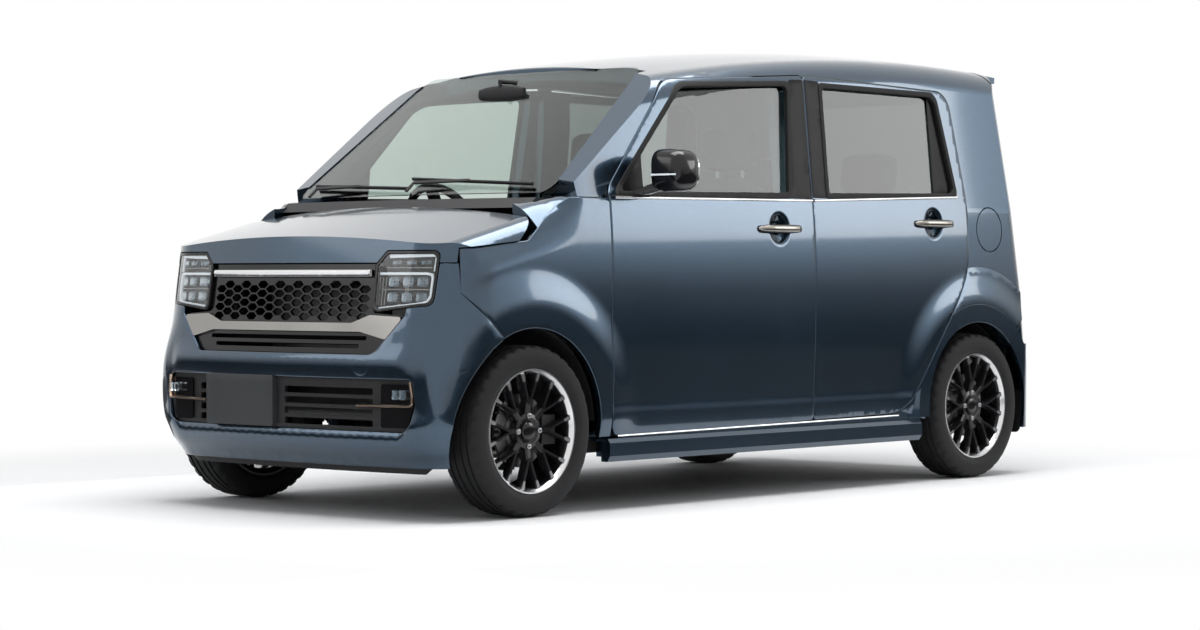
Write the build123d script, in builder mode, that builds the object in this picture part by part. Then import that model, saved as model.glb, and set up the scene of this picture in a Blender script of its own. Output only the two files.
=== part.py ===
from math import asin, cos, degrees, hypot, pi, radians, sin, sqrt
import os

from build123d import *

os.makedirs("parts", exist_ok=True)

# A four-door kei hatchback.  Millimetres, +X forward, +Y to the car's left, +Z up
# from the road, origin under the middle of the overall length.
WIDTH = 1475
HEIGHT = 1675
WHEELBASE = 2520
FRONT_OVERHANG = 460
REAR_OVERHANG = 415
TYRE_D = 562
TYRE_W = 165
RIM_R = 190
TYRE_INSET = 5
FLARE = 14
ANTENNA_H = 22
SHUT_GAP = 6
BELT_Z = 1050
WAIST_Z = 740
SILL_Z = 178
FLOOR_Z = 232
WALL = 55
SKIN = 12
ARCH_R = 335
REAR_ARCH_R = 328
FLARE_W = 66
LOCK_ANGLE = 34

LENGTH = FRONT_OVERHANG + WHEELBASE + REAR_OVERHANG
X_NOSE = LENGTH / 2
X_TAIL = -LENGTH / 2
X_FA = X_NOSE - FRONT_OVERHANG
X_RA = X_TAIL + REAR_OVERHANG
HALF_W = WIDTH / 2 - FLARE
ROOF_Z = HEIGHT - ANTENNA_H
TYRE_R = TYRE_D / 2
WHEEL_Y = WIDTH / 2 - TYRE_INSET - TYRE_W / 2
X_DOOR = X_FA - 390
X_B = X_RA + 1018
X_TGATE = X_TAIL + 205
FIREWALL_X = X_FA - 252

# Curves of the body side in section, and of the roof.
R_WAIST = 3200
R_TUCK = 8000
R_CROWN = 3400
R_RAIL = 110
LEAN = (BELT_Z - WAIST_Z) / sqrt(R_WAIST ** 2 - (BELT_Z - WAIST_Z) ** 2)

X_PEAK = X_FA - 2237
R_LONG = 9440
TAIL_LEAN = 0.1336
TAIL_X = X_TAIL + 22
TAIL_Z = 520
TAIL_CORNER = 88
TAIL_BANDS = [
    # bottom, top, how far the side leans in for each millimetre of height
    (100, WAIST_Z, 0),
    (WAIST_Z, BELT_Z, 0.048),
    (BELT_Z, 1800, LEAN),
]
NOSE_BANDS = [
    # bottom, top, front face behind the nose at the bottom and at the top
    (150, 300, 46, 0),
    (300, 480, 0, 0),
    (480, 1200, 0, 106),
]
NOSE_BOW = 54
NOSE_CORNER = 200
BONNET_FRONT = (X_NOSE - 97, 925)
BONNET_REAR = (X_FA - 197, 1065)
R_BONNET = 5000
BONNET_EDGE = 80
SCREEN_BASE = (X_FA - 110, BELT_Z + 5)
SCREEN_TOP = (X_FA - 726, ROOF_Z - 131)
R_SCREEN = 5000

# Shut lines and openings as outlines: first two columns place a corner, the third rounds it.
FRONT_DOOR = [
    (X_DOOR, 246, 40), (X_DOOR, BELT_Z + 15, 20), (X_DOOR - 350, ROOF_Z - 186, 140),
    (X_B, ROOF_Z - 137, 20), (X_B, 262, 15)]
REAR_DOOR = [
    (X_B, 262, 15), (X_B, ROOF_Z - 137, 20), (X_RA + 118, ROOF_Z - 158, 90),
    (X_RA + 43, BELT_Z + 30, 60), (X_RA + 43, 810, 250), (X_RA + 458, 270, 180)]
FRONT_GLASS = [
    (X_DOOR - 48, BELT_Z + 12, 8), (X_DOOR - 424, ROOF_Z - 202, 90),
    (X_B + 90, ROOF_Z - 171, 25), (X_B + 128, BELT_Z + 26, 12)]
REAR_GLASS = [
    (X_B - 97, ROOF_Z - 169, 20), (X_B - 95, BELT_Z + 30, 12),
    (X_RA + 111, BELT_Z + 46, 25), (X_RA + 205, ROOF_Z - 172, 55)]
SCREEN = [
    (-622, BELT_Z + 12, 40), (622, BELT_Z + 12, 40),
    (527, ROOF_Z - 137, 60), (-527, ROOF_Z - 137, 60)]
TAILGATE = [
    (-556, 528, 40), (556, 528, 40), (598, 900, 60), (590, 1200, 200),
    (548, ROOF_Z - 90, 60), (548, HEIGHT + 60, 0), (-548, HEIGHT + 60, 0),
    (-548, ROOF_Z - 90, 60), (-590, 1200, 200), (-598, 900, 60)]
BACK_GLASS = [
    (-520, BELT_Z + 40, 60), (520, BELT_Z + 40, 60), (478, ROOF_Z - 175, 60), (-478, ROOF_Z - 175, 60)]
FENDER = [
    (X_DOOR, 246, 0), (X_DOOR, BELT_Z - 3, 0), (X_FA - 200, BELT_Z - 3, 0),
    (X_FA - 93, 983, 30), (X_FA + 4, 902, 40), (X_NOSE - 165, 873, 0),
    (X_NOSE - 158, 732, 0), (X_FA + 144, 580, 0), (X_FA, 246, 0)]
BONNET = [
    (X_NOSE + 90, 826, 0), (X_NOSE - 158, 826, 0), (X_NOSE - 165, 873, 0),
    (X_FA + 4, 902, 40), (X_FA - 93, 983, 30), (X_FA - 196, BELT_Z - 3, 0),
    (X_FA - 196, 1300, 0), (X_NOSE + 90, 1300, 0)]
BUMPER = [
    (X_NOSE + 90, 100, 0), (X_NOSE + 90, 826, 0), (X_NOSE - 220, 826, 0),
    (X_NOSE - 220, 732, 0), (X_NOSE - 158, 732, 0), (X_FA + 144, 580, 0),
    (X_FA, 246, 0), (X_FA, 100, 0)]
LAMP = [
    (443, 866, 14), (400, 822, 14), (402, 668, 20), (634, 692, 24), (638, 866, 18)]
UPPER_MOUTH = [
    (-388, 826, 0), (388, 826, 0), (400, 668, 10), (543, 659, 12), (424, 533, 45),
    (-424, 533, 45), (-543, 659, 12), (-400, 668, 10)]
LOWER_MOUTH = [
    (-593, 459, 35), (593, 459, 35), (604, 373, 30), (580, 284, 40),
    (-580, 284, 40), (-604, 373, 30)]
GARNISH = [
    (-536, 654, 8), (-395, 660, 30), (-320, 634, 40), (320, 634, 40), (395, 660, 30),
    (536, 654, 8), (470, 582, 12), (360, 606, 40), (-360, 606, 40), (-470, 582, 12)]
TAIL_LAMP = [
    (607, 610, 14), (690, 610, 14), (690, 900, 14), (607, 900, 14)]
FUEL_LID = (X_RA - 105, 967, 84)
SKIRT_TOP = 240
SEAT_GAP = 0.3
ROOF_Y = 556
# Door hinges: x behind the shut line, depth inside the skin, heights, pin and leaf sizes.
HINGE_BACK, HINGE_IN, HINGE_Z = 48, 17, (520, 860)
HINGE_PIN, HINGE_LEAF, HINGE_H = 4, 8, 20
FIT = 0.06
# Screw-in towing eyes: y, z, thread radius, recess radius, depth of the recess and of the thread.
FRONT_EYE = (250, 497)
REAR_EYE = (-430, 350)
EYE_R, EYE_CUP, EYE_IN, EYE_L = 8, 19, 22, 40
PLATE_Z, PLATE_PITCH, PLATE_HOLE = 760, 210, 3.5


def side_y(z, inset=0):
    """Half width of the body at height z, on the flat of its side."""
    if z < WAIST_Z:
        return HALF_W - inset - R_TUCK + sqrt(R_TUCK ** 2 - (z - WAIST_Z) ** 2)
    low = min(z, BELT_Z)
    y = HALF_W - inset - R_WAIST + sqrt(R_WAIST ** 2 - (low - WAIST_Z) ** 2)
    return y - LEAN * max(z - BELT_Z, 0)


def half_section(inset, bottom):
    """Half outline of the body across the car: sill, waist, belt, rail and roof crown."""
    big = R_CROWN - inset
    small = max(R_RAIL - inset, 40)
    crown = ROOF_Z - inset - big
    n = hypot(1, LEAN)
    out, up = (1 / n, LEAN / n), (-LEAN / n, 1 / n)
    belt = (side_y(BELT_Z, inset) - 1, BELT_Z)
    foot = (belt[0] - small * out[0], belt[1] - small * out[1])
    b = foot[0] * up[0] + (foot[1] - crown) * up[1]
    c = foot[0] ** 2 + (foot[1] - crown) ** 2 - (big - small) ** 2
    t = sqrt(b * b - c) - b
    mid = (foot[0] + t * up[0], foot[1] + t * up[1])
    far = hypot(mid[0], mid[1] - crown)
    top = (mid[0] / far, (mid[1] - crown) / far)
    k = hypot(out[0] + top[0], out[1] + top[1])
    turns = (out, ((out[0] + top[0]) / k, (out[1] + top[1]) / k), top)
    lower = [(side_y(z, inset), z) for z in (bottom, (bottom + WAIST_Z) / 2, WAIST_Z,
                                             (BELT_Z + WAIST_Z) / 2, BELT_Z)]
    upper = [(belt[0] - 4, BELT_Z - 30), belt]
    upper += [(mid[0] + small * d[0], mid[1] + small * d[1]) for d in turns]
    return lower, upper


def cabin_tube(inset=0, bottom=SILL_Z):
    """The body's cross-section: drawn straight below the belt, bent along the roof above it."""
    lower, upper = half_section(inset, bottom)
    x0, x1 = X_TAIL - 40, X_FA - 170
    a0, a1 = asin((x0 - X_PEAK) / R_LONG), asin((x1 - X_PEAK) / R_LONG)
    start = Plane(origin=(X_PEAK + R_LONG * sin(a0), 0, ROOF_Z - R_LONG + R_LONG * cos(a0)),
                  x_dir=(0, 1, 0), z_dir=(cos(a0), 0, -sin(a0)))
    with BuildPart() as tube:
        with BuildSketch(Plane.YZ.offset(x0)):
            with BuildLine():
                ThreePointArc(lower[0], lower[1], lower[2])
                ThreePointArc(lower[2], lower[3], lower[4])
                Line(lower[4], (-lower[4][0], lower[4][1]))
                ThreePointArc(*[(-y, z) for y, z in (lower[4], lower[3], lower[2])])
                ThreePointArc(*[(-y, z) for y, z in (lower[2], lower[1], lower[0])])
                Line((-lower[0][0], lower[0][1]), lower[0])
            make_face()
        extrude(amount=x1 - x0)
        with BuildSketch(start):
            with BuildLine():
                u = [(y, z - ROOF_Z) for y, z in upper]
                v = [(-y, z) for y, z in u]
                Polyline(v[1], v[0], u[0], u[1], u[2])
                ThreePointArc(u[2], u[3], u[4])
                ThreePointArc(u[4], (0, -inset), v[4])
                ThreePointArc(v[4], v[3], v[2])
                Line(v[2], v[1])
            make_face()
        revolve(axis=Axis((X_PEAK, 0, ROOF_Z - R_LONG), (0, 1, 0)), revolution_arc=degrees(a1 - a0))
    return tube.part


def slope_cutter(low, high, radius, inset):
    """Everything above a bowed face that slopes from low up to high, moved inwards by inset."""
    plane = Plane(origin=(low[0], 0, low[1]), x_dir=(0, 1, 0),
                  z_dir=(low[0] - high[0], 0, low[1] - high[1]))
    fall = 900 ** 2 / 2 / radius + inset
    with BuildPart() as cut:
        with BuildSketch(plane):
            with BuildLine():
                ThreePointArc((-900, -fall), (0, -inset), (900, -fall))
                Polyline((900, -fall), (900, 1500), (-900, 1500), (-900, -fall))
            make_face()
        extrude(amount=1800, both=True)
    return cut.part


def screen_cutter(inset):
    return slope_cutter(SCREEN_BASE, SCREEN_TOP, R_SCREEN, inset)


def tail_block(inset):
    """Space ahead of the leaning rear face, with its corners rounded."""
    ahead = X_FA
    with BuildPart() as tail:
        for low, high, lean in TAIL_BANDS:
            x = TAIL_X + inset + (low - TAIL_Z) * TAIL_LEAN
            w = side_y(max(low, WAIST_Z), inset) + 0.6
            with BuildPart() as left:
                with BuildSketch(Plane.XY.offset(low)) as face:
                    with BuildLine():
                        Polyline([(ahead, -2000), (ahead, w), (x, w), (x, -2000)], close=True)
                    make_face()
                    corner = face.vertices().sort_by_distance(Vector(x, w, 0))[0]
                    fillet(corner, radius=max(TAIL_CORNER - inset, 25))
                run = Vector(TAIL_LEAN, -lean, 1)
                extrude(amount=(high - low) * run.length, dir=run)
            with BuildPart() as band:
                add(left.part)
                mirror(left.part, about=Plane.XZ, mode=Mode.INTERSECT)
            add(band.part)
    return tail.part


def cabin(inset=0, bottom=SILL_Z):
    with BuildPart() as body:
        add(cabin_tube(inset, bottom))
        add(screen_cutter(inset), mode=Mode.SUBTRACT)
        add(tail_block(inset), mode=Mode.INTERSECT)
    return body.part


def nose(inset=0):
    """The car ahead of the doors: bumper, fenders and bonnet in one volume."""
    back = X_DOOR - 12
    lower, upper = half_section(inset, 150)
    top = (upper[1][0] - LEAN * 150, BELT_Z + 150)
    with BuildPart() as body:
        for low, high, x0, x1 in NOSE_BANDS:
            x = X_NOSE - x0 - inset
            w = HALF_W - inset + 1
            with BuildSketch(Plane.XY.offset(low)) as face:
                with BuildLine():
                    ThreePointArc((x - NOSE_BOW, -w), (x, 0), (x - NOSE_BOW, w))
                    Polyline((x - NOSE_BOW, w), (back - 200, w), (back - 200, -w), (x - NOSE_BOW, -w))
                make_face()
                fillet(face.vertices().group_by(Axis.X)[-1], radius=NOSE_CORNER - inset)
            run = Vector(x0 - x1, 0, high - low)
            extrude(amount=run.length, dir=run)
        with BuildSketch(Plane.YZ.offset(back)):
            with BuildLine():
                ThreePointArc(lower[0], lower[1], lower[2])
                ThreePointArc(lower[2], lower[3], lower[4])
                Polyline(lower[4], top, (-top[0], top[1]), (-lower[4][0], lower[4][1]))
                ThreePointArc(*[(-y, z) for y, z in (lower[4], lower[3], lower[2])])
                ThreePointArc(*[(-y, z) for y, z in (lower[2], lower[1], lower[0])])
                Line((-lower[0][0], lower[0][1]), lower[0])
            make_face()
        extrude(amount=X_NOSE + 50 - back, mode=Mode.INTERSECT)
        add(slope_cutter(BONNET_FRONT, BONNET_REAR, R_BONNET, inset), mode=Mode.SUBTRACT)
        lid = body.faces().sort_by(Axis.Z)[-1]
        rim = [e for e in lid.edges() if e.center().X > back + 5]
        fillet(rim, radius=BONNET_EDGE - inset)
    return body.part


def prism(plane, rows, near, far, grow=0):
    """Outline drawn on a plane, its corners rounded, carried from near to far."""
    base = {"side": Plane.XZ.offset(-near), "front": Plane.YZ.offset(near),
            "plan": Plane.XY.offset(near)}[plane]
    with BuildPart() as block:
        with BuildSketch(base) as face:
            with BuildLine():
                Polyline([(a, b) for a, b, r in rows], close=True)
            make_face()
            for a, b, r in rows:
                if r:
                    fillet(face.vertices().sort_by_distance(Vector(a, b, 0))[0], radius=r)
            if grow:
                offset(amount=grow, kind=Kind.INTERSECTION)
        extrude(amount=near - far if plane == "side" else far - near)
    return block.part


def block(x0, x1, y0, y1, z0, z1):
    with BuildPart() as b:
        with Locations(((x0 + x1) / 2, (y0 + y1) / 2, (z0 + z1) / 2)):
            Box(x1 - x0, y1 - y0, z1 - z0)
    return b.part


def rod(start, end, radius):
    line = Vector(*end) - Vector(*start)
    with BuildPart() as r:
        with BuildSketch(Plane(origin=start, z_dir=line)):
            Circle(radius)
        extrude(amount=line.length)
    return r.part


def arch(x, radius, y0, y1):
    return rod((x, y0, TYRE_R), (x, y1, TYRE_R), radius)


def flare(x, radius):
    """Raised band round a wheel arch, sloped back to the body at its outer edge."""
    rise = WIDTH / 2 - HALF_W + 15
    with BuildPart() as ring:
        with BuildSketch(Plane.XZ.offset(-(WIDTH / 2 - rise))):
            with Locations((x, TYRE_R)):
                Circle(radius + rise)
        extrude(amount=-rise, taper=45)
        add(block(x - 900, x + 900, 0, WIDTH, 250, 900), mode=Mode.INTERSECT)
    return ring.part


def both_sides(part):
    with BuildPart() as pair:
        add(part)
        mirror(part, about=Plane.XZ)
    return pair.part


def save(name, part):
    part.label = name
    export_step(part, f"parts/{name}.step")


# Body volumes that the panels are cut from.
shell = cabin()
with BuildPart() as outer_body:
    add(shell)
    add(both_sides(flare(X_RA, REAR_ARCH_R + FLARE_W)))
outer = outer_body.part
cavity = cabin(WALL, FLOOR_Z)
inside = cabin_tube(WALL, FLOOR_Z)
with BuildPart() as nose_body:
    add(nose())
    add(both_sides(flare(X_FA, ARCH_R + FLARE_W)))
front = nose_body.part
front_in = nose(SKIN)
half = SHUT_GAP / 2

# Doors, each as deep as the body side, with the window cut through.
DOORS = [
    # name, outline, window, front shut line, handle x, handle z
    ("front", FRONT_DOOR, FRONT_GLASS, X_DOOR, (X_DOOR + X_B) / 2 - 352, 955),
    ("rear", REAR_DOOR, REAR_GLASS, X_B, X_RA + 270, 986),
]
HANDLE_L, HANDLE_H, HANDLE_OUT = 240, 34, 30
PANE, PANE_IN = 5, 16
pane_out = cabin_tube(PANE_IN)
pane_in = cabin_tube(PANE_IN + PANE)
for name, outline, window, outline_front, hx, hz in DOORS:
    hinge_x, hinge_y = outline_front - HINGE_BACK, HALF_W - HINGE_IN
    with BuildPart() as door:
        add(outer)
        add(prism("side", outline, ROOF_Y + 19, 900, -half), mode=Mode.INTERSECT)
        add(inside, mode=Mode.SUBTRACT)
        add(prism("side", window, 300, 900), mode=Mode.SUBTRACT)
        add(arch(X_RA, REAR_ARCH_R, 300, 900), mode=Mode.SUBTRACT)
        y = side_y(hz)
        with BuildSketch(Plane.XZ.offset(-(y - 12))):
            with Locations((hx, hz)):
                RectangleRounded(HANDLE_L, HANDLE_H, HANDLE_H / 2 - 2)
        extrude(amount=-(HANDLE_OUT + 12))
        for z in HINGE_Z:
            add(block(hinge_x - HINGE_LEAF - 13, outline_front, 500, hinge_y + HINGE_PIN + 2, z - HINGE_H - 5,
                      z + HINGE_H + 5), mode=Mode.SUBTRACT)
            add(rod((hinge_x, hinge_y, z - HINGE_H - 25), (hinge_x, hinge_y, z + HINGE_H + 25), HINGE_PIN + FIT),
                mode=Mode.SUBTRACT)
    with BuildPart() as glass:
        add(pane_out)
        add(prism("side", window, 300, 900, -0.5), mode=Mode.INTERSECT)
        add(pane_in, mode=Mode.SUBTRACT)
    for side in ("left", "right"):
        with BuildPart() as one:
            if side == "left":
                add(door.part)
            else:
                mirror(door.part, about=Plane.XZ)
        with BuildPart() as pane:
            if side == "left":
                add(glass.part)
            else:
                mirror(glass.part, about=Plane.XZ)
        save(f"{name}_door_{side}", one.part)
        save(f"{name}_door_glass_{side}", pane.part)

# Door mirrors on short arms at the front corner of the door.
MIRROR_X, MIRROR_Z, MIRROR_OUT = X_DOOR - 215, BELT_Z + 92, 890
with BuildPart() as mirror_left:
    add(block(MIRROR_X - 62, MIRROR_X + 62, HALF_W + 22, MIRROR_OUT, MIRROR_Z - 68, MIRROR_Z + 70))
    fillet(mirror_left.edges(), radius=32)
    add(block(MIRROR_X + 15, X_DOOR - 70, HALF_W - 60, HALF_W + 60, BELT_Z - 14, BELT_Z + 40))
    add(outer, mode=Mode.SUBTRACT)
save("door_mirror_left", mirror_left.part)
with BuildPart() as mirror_right:
    mirror(mirror_left.part, about=Plane.XZ)
save("door_mirror_right", mirror_right.part)

# Body sides: sill, pillars, roof rail and rear quarter, with the door openings cut.
inner_skin = cabin_tube(WALL - 3, FLOOR_Z)
post_out = cabin_tube(WALL + 25, FLOOR_Z)
post_in = cabin_tube(WALL + 62, FLOOR_Z)
with BuildPart() as b_post:
    for tube, low, high in ((post_out, FLOOR_Z, HEIGHT), (inner_skin, FLOOR_Z, SKIRT_TOP),
                            (cabin_tube(4), ROOF_Z - 137 + half + 1, HEIGHT)):
        with BuildPart() as piece:
            add(tube)
            add(block(X_B - 75, X_B + 75, ROOF_Y + half, 900, low, high), mode=Mode.INTERSECT)
            add(post_in, mode=Mode.SUBTRACT)
        add(piece.part)
lid_x, lid_z, lid_r = FUEL_LID
with BuildPart() as side_wall:
    add(outer)
    add(block(X_TAIL - 50, X_FA, 0, 900, 0, HEIGHT + 50), mode=Mode.INTERSECT)
    add(cavity, mode=Mode.SUBTRACT)
    for name, outline, window, outline_front, hx, hz in DOORS:
        add(prism("side", outline, 300, 900, half), mode=Mode.SUBTRACT)
    add(block(X_DOOR - 90, X_FA, 0, 900, 0, BELT_Z), mode=Mode.SUBTRACT)
    add(prism("front", SCREEN, X_FA - 800, X_FA + 100), mode=Mode.SUBTRACT)
    add(block(X_TGATE - 20, X_FA - 735, 0, ROOF_Y, ROOF_Z - 300, HEIGHT), mode=Mode.SUBTRACT)
    add(prism("front", TAILGATE, X_TAIL - 100, X_TGATE, half), mode=Mode.SUBTRACT)
    add(prism("front", TAIL_LAMP, X_TAIL - 100, X_TAIL + 170, SEAT_GAP), mode=Mode.SUBTRACT)
    add(block(X_TAIL - 50, X_TAIL + 260, 0, 900, 0, 517 + SEAT_GAP), mode=Mode.SUBTRACT)
    add(block(X_TAIL - 50, X_FA, 0, HALF_W - 74, 0, FLOOR_Z + 8), mode=Mode.SUBTRACT)
    add(block(X_RA, X_FA, HALF_W - 34, 900, 0, SKIRT_TOP + 3), mode=Mode.SUBTRACT)
    add(arch(X_RA, REAR_ARCH_R, 0, 900), mode=Mode.SUBTRACT)
    with BuildPart() as lid_hole:
        add(rod((lid_x, 600, lid_z), (lid_x, 900, lid_z), lid_r + 5))
        add(cabin_tube(28), mode=Mode.SUBTRACT)
    add(lid_hole.part, mode=Mode.SUBTRACT)
    add(block(X_DOOR - 75, X_DOOR + 37, HALF_W - 140, HALF_W - 89, FLOOR_Z, BELT_Z - 10))
    add(block(X_DOOR + 7, X_DOOR + 37, HALF_W - 140, HALF_W - 68, BELT_Z - 60, BELT_Z + 20))
    add(block(X_DOOR - 75, X_DOOR + 37, HALF_W - 140, HALF_W - 36, FLOOR_Z, SKIRT_TOP))
    add(block(X_RA + REAR_ARCH_R + 30, X_DOOR, HALF_W - 74, HALF_W - 34 - SEAT_GAP, SILL_Z, SKIRT_TOP))
    add(b_post.part)
    for name, outline, window, outline_front, hx, hz in DOORS:
        hinge_x, hinge_y = outline_front - HINGE_BACK, HALF_W - HINGE_IN
        for z in HINGE_Z:
            add(block(hinge_x - HINGE_LEAF, hinge_x + HINGE_LEAF, HALF_W - 110, hinge_y - 12, z - HINGE_H, z + HINGE_H))
            add(block(hinge_x - HINGE_PIN, hinge_x + HINGE_PIN, hinge_y - 14, hinge_y, z - HINGE_H, z + HINGE_H))
            add(rod((hinge_x, hinge_y, z - HINGE_H - 24), (hinge_x, hinge_y, z + HINGE_H + 24), HINGE_PIN))
    with BuildPart() as bracket:
        add(block(X_DOOR + 8, X_DOOR + 36, HALF_W - 120, 900, BELT_Z - 115, BELT_Z - 62))
        add(nose(SKIN + SEAT_GAP), mode=Mode.INTERSECT)
    add(bracket.part)
    with BuildPart() as filler:
        add(rod((lid_x, HALF_W - 60, lid_z), (lid_x, 900, lid_z), 34))
        add(cabin_tube(14 + SEAT_GAP), mode=Mode.INTERSECT)
    add(filler.part)
    with BuildPart() as stop:
        add(block(X_TAIL + 90, X_TAIL + 190, 570, 650, 980, 1010))
        add(tail_block(WALL + SEAT_GAP), mode=Mode.INTERSECT)
    add(stop.part)
    with BuildPart() as stop_foot:
        add(block(X_TAIL + 90, X_TAIL + 190, 606, 650, 980, 1010))
        add(tail_block(25), mode=Mode.INTERSECT)
    add(stop_foot.part)
with BuildPart() as side_left:
    add(side_wall.part.solids().sort_by(SortBy.VOLUME)[-1])
save("body_side_left", side_left.part)
with BuildPart() as side_right:
    mirror(side_left.part, about=Plane.XZ)
save("body_side_right", side_right.part)

# Fuel flap in the left rear quarter.
with BuildPart() as fuel_lid:
    add(outer)
    add(rod((lid_x, 600, lid_z), (lid_x, 900, lid_z), lid_r), mode=Mode.INTERSECT)
    add(cabin_tube(14), mode=Mode.SUBTRACT)
save("fuel_lid", fuel_lid.part)

# Roof panel with the aerial's foot.
with BuildPart() as roof:
    add(shell)
    add(block(X_TGATE + half, X_FA - 735, SEAT_GAP - ROOF_Y, ROOF_Y - SEAT_GAP, ROOF_Z - 300, HEIGHT),
        mode=Mode.INTERSECT)
    add(cavity, mode=Mode.SUBTRACT)
    add(prism("front", SCREEN, X_FA - 800, X_FA + 100), mode=Mode.SUBTRACT)
    add(rod((X_TGATE + 140, 0, ROOF_Z - 40), (X_TGATE + 140, 0, HEIGHT), 14))
save("roof_panel", roof.part)

# Windscreen, bonded on its frame.
with BuildPart() as windscreen:
    add(prism("front", SCREEN, X_FA - 800, X_FA + 100, -SEAT_GAP))
    add(screen_cutter(10), mode=Mode.INTERSECT)
    add(screen_cutter(4), mode=Mode.SUBTRACT)
save("windscreen", windscreen.part)

# Tailgate with its roof spoiler and side fins, and its glass.
SPOILER = [(X_TGATE - half, HEIGHT), (X_TAIL + 20, HEIGHT), (X_TAIL + 28, ROOF_Z - 92), (X_TGATE - 60, ROOF_Z - 108)]
FIN = [(X_TGATE - 20, HEIGHT), (X_TAIL + 34, HEIGHT), (X_TAIL + 78, ROOF_Z - 185), (X_TGATE - 20, ROOF_Z - 185)]
WING_W, FIN_Y = 544, 506
with BuildPart() as wing:
    for rows, near in ((SPOILER, -WING_W), (FIN, FIN_Y), (FIN, -WING_W)):
        with BuildPart() as blade:
            add(cabin_tube(1))
            far = WING_W if rows is SPOILER else near + WING_W - FIN_Y
            add(prism("side", [(x, z, 0) for x, z in rows], near, far), mode=Mode.INTERSECT)
        add(blade.part)
with BuildPart() as tailgate:
    add(shell)
    add(prism("front", TAILGATE, X_TAIL - 100, X_TGATE - half, -half), mode=Mode.INTERSECT)
    add(cavity, mode=Mode.SUBTRACT)
    add(prism("front", BACK_GLASS, X_TAIL - 100, X_TGATE + 100), mode=Mode.SUBTRACT)
    add(wing.part)
    for y in (-PLATE_PITCH / 2, PLATE_PITCH / 2):
        add(rod((X_TAIL + 80, y, PLATE_Z), (X_TAIL - 50, y, PLATE_Z), PLATE_HOLE), mode=Mode.SUBTRACT)
save("tailgate", tailgate.part)
with BuildPart() as back_glass:
    add(cabin(6))
    add(prism("front", BACK_GLASS, X_TAIL - 100, X_TGATE + 100, -0.5), mode=Mode.INTERSECT)
    add(cabin(11), mode=Mode.SUBTRACT)
save("tailgate_glass", back_glass.part)

# Tail lamps in the corners beside the tailgate.
with BuildPart() as tail_lamp:
    add(shell)
    add(prism("front", TAIL_LAMP, X_TAIL - 100, X_TAIL + 170), mode=Mode.INTERSECT)
    add(cabin(WALL - 10), mode=Mode.SUBTRACT)
save("tail_lamps", both_sides(tail_lamp.part))

# Rear bumper.
RB_TOP, RB_LOW = 517, 185
with BuildPart() as rear_bumper:
    for z0, z1, t in ((RB_LOW, RB_TOP, 0), (0, RB_TOP - SKIN, SKIN)):
        with BuildSketch(Plane.XY.offset(z0)) as face:
            w = HALF_W + 8 - t
            with BuildLine():
                Polyline((X_RA - 200, -w), (X_RA - 200, w), (X_TAIL + 16 + t, w))
                ThreePointArc((X_TAIL + 16 + t, w), (X_TAIL + t, 0), (X_TAIL + 16 + t, -w))
                Line((X_TAIL + 16 + t, -w), (X_RA - 200, -w))
            make_face()
            fillet(face.vertices().group_by(Axis.X)[0], radius=90 - t)
        extrude(amount=z1 - z0, mode=Mode.SUBTRACT if t else Mode.ADD)
    add(block(X_TAIL + 100, X_RA - 190, -600, 600, RB_TOP - 200, RB_TOP + 1), mode=Mode.SUBTRACT)
    add(both_sides(arch(X_RA, REAR_ARCH_R, 300, 900)), mode=Mode.SUBTRACT)
    add(both_sides(arch(X_RA, REAR_ARCH_R + 14, 300, HALF_W - WALL)), mode=Mode.SUBTRACT)
    y, z = REAR_EYE
    add(rod((X_TAIL + EYE_IN + EYE_L + 12, y, z), (X_TAIL + EYE_IN - 9, y, z), EYE_CUP + 6))
    add(rod((X_TAIL + EYE_IN, y, z), (X_TAIL - 50, y, z), EYE_CUP), mode=Mode.SUBTRACT)
    add(rod((X_TAIL + EYE_IN + EYE_L, y, z), (X_TAIL - 50, y, z), EYE_R), mode=Mode.SUBTRACT)
save("rear_bumper", rear_bumper.part)

# Front end: fenders, bonnet and bumper out of one skin.
lamp_cut = both_sides(prism("front", LAMP, X_FA + 150, X_NOSE + 50, half))
with BuildPart() as fender:
    add(front)
    add(prism("side", FENDER, 300, 900, -half), mode=Mode.INTERSECT)
    add(front_in, mode=Mode.SUBTRACT)
    add(arch(X_FA, ARCH_R, 0, 900), mode=Mode.SUBTRACT)
    add(lamp_cut, mode=Mode.SUBTRACT)
    add(block(X_DOOR - 30, X_FA + 100, 0, 640, 800, 1300), mode=Mode.SUBTRACT)
save("front_fenders", both_sides(fender.part))
with BuildPart() as bonnet:
    add(front)
    add(prism("side", BONNET, -900, 900, -half), mode=Mode.INTERSECT)
    add(front_in, mode=Mode.SUBTRACT)
    add(lamp_cut, mode=Mode.SUBTRACT)
    add(screen_cutter(-28), mode=Mode.INTERSECT)
save("bonnet", bonnet.part)
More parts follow.
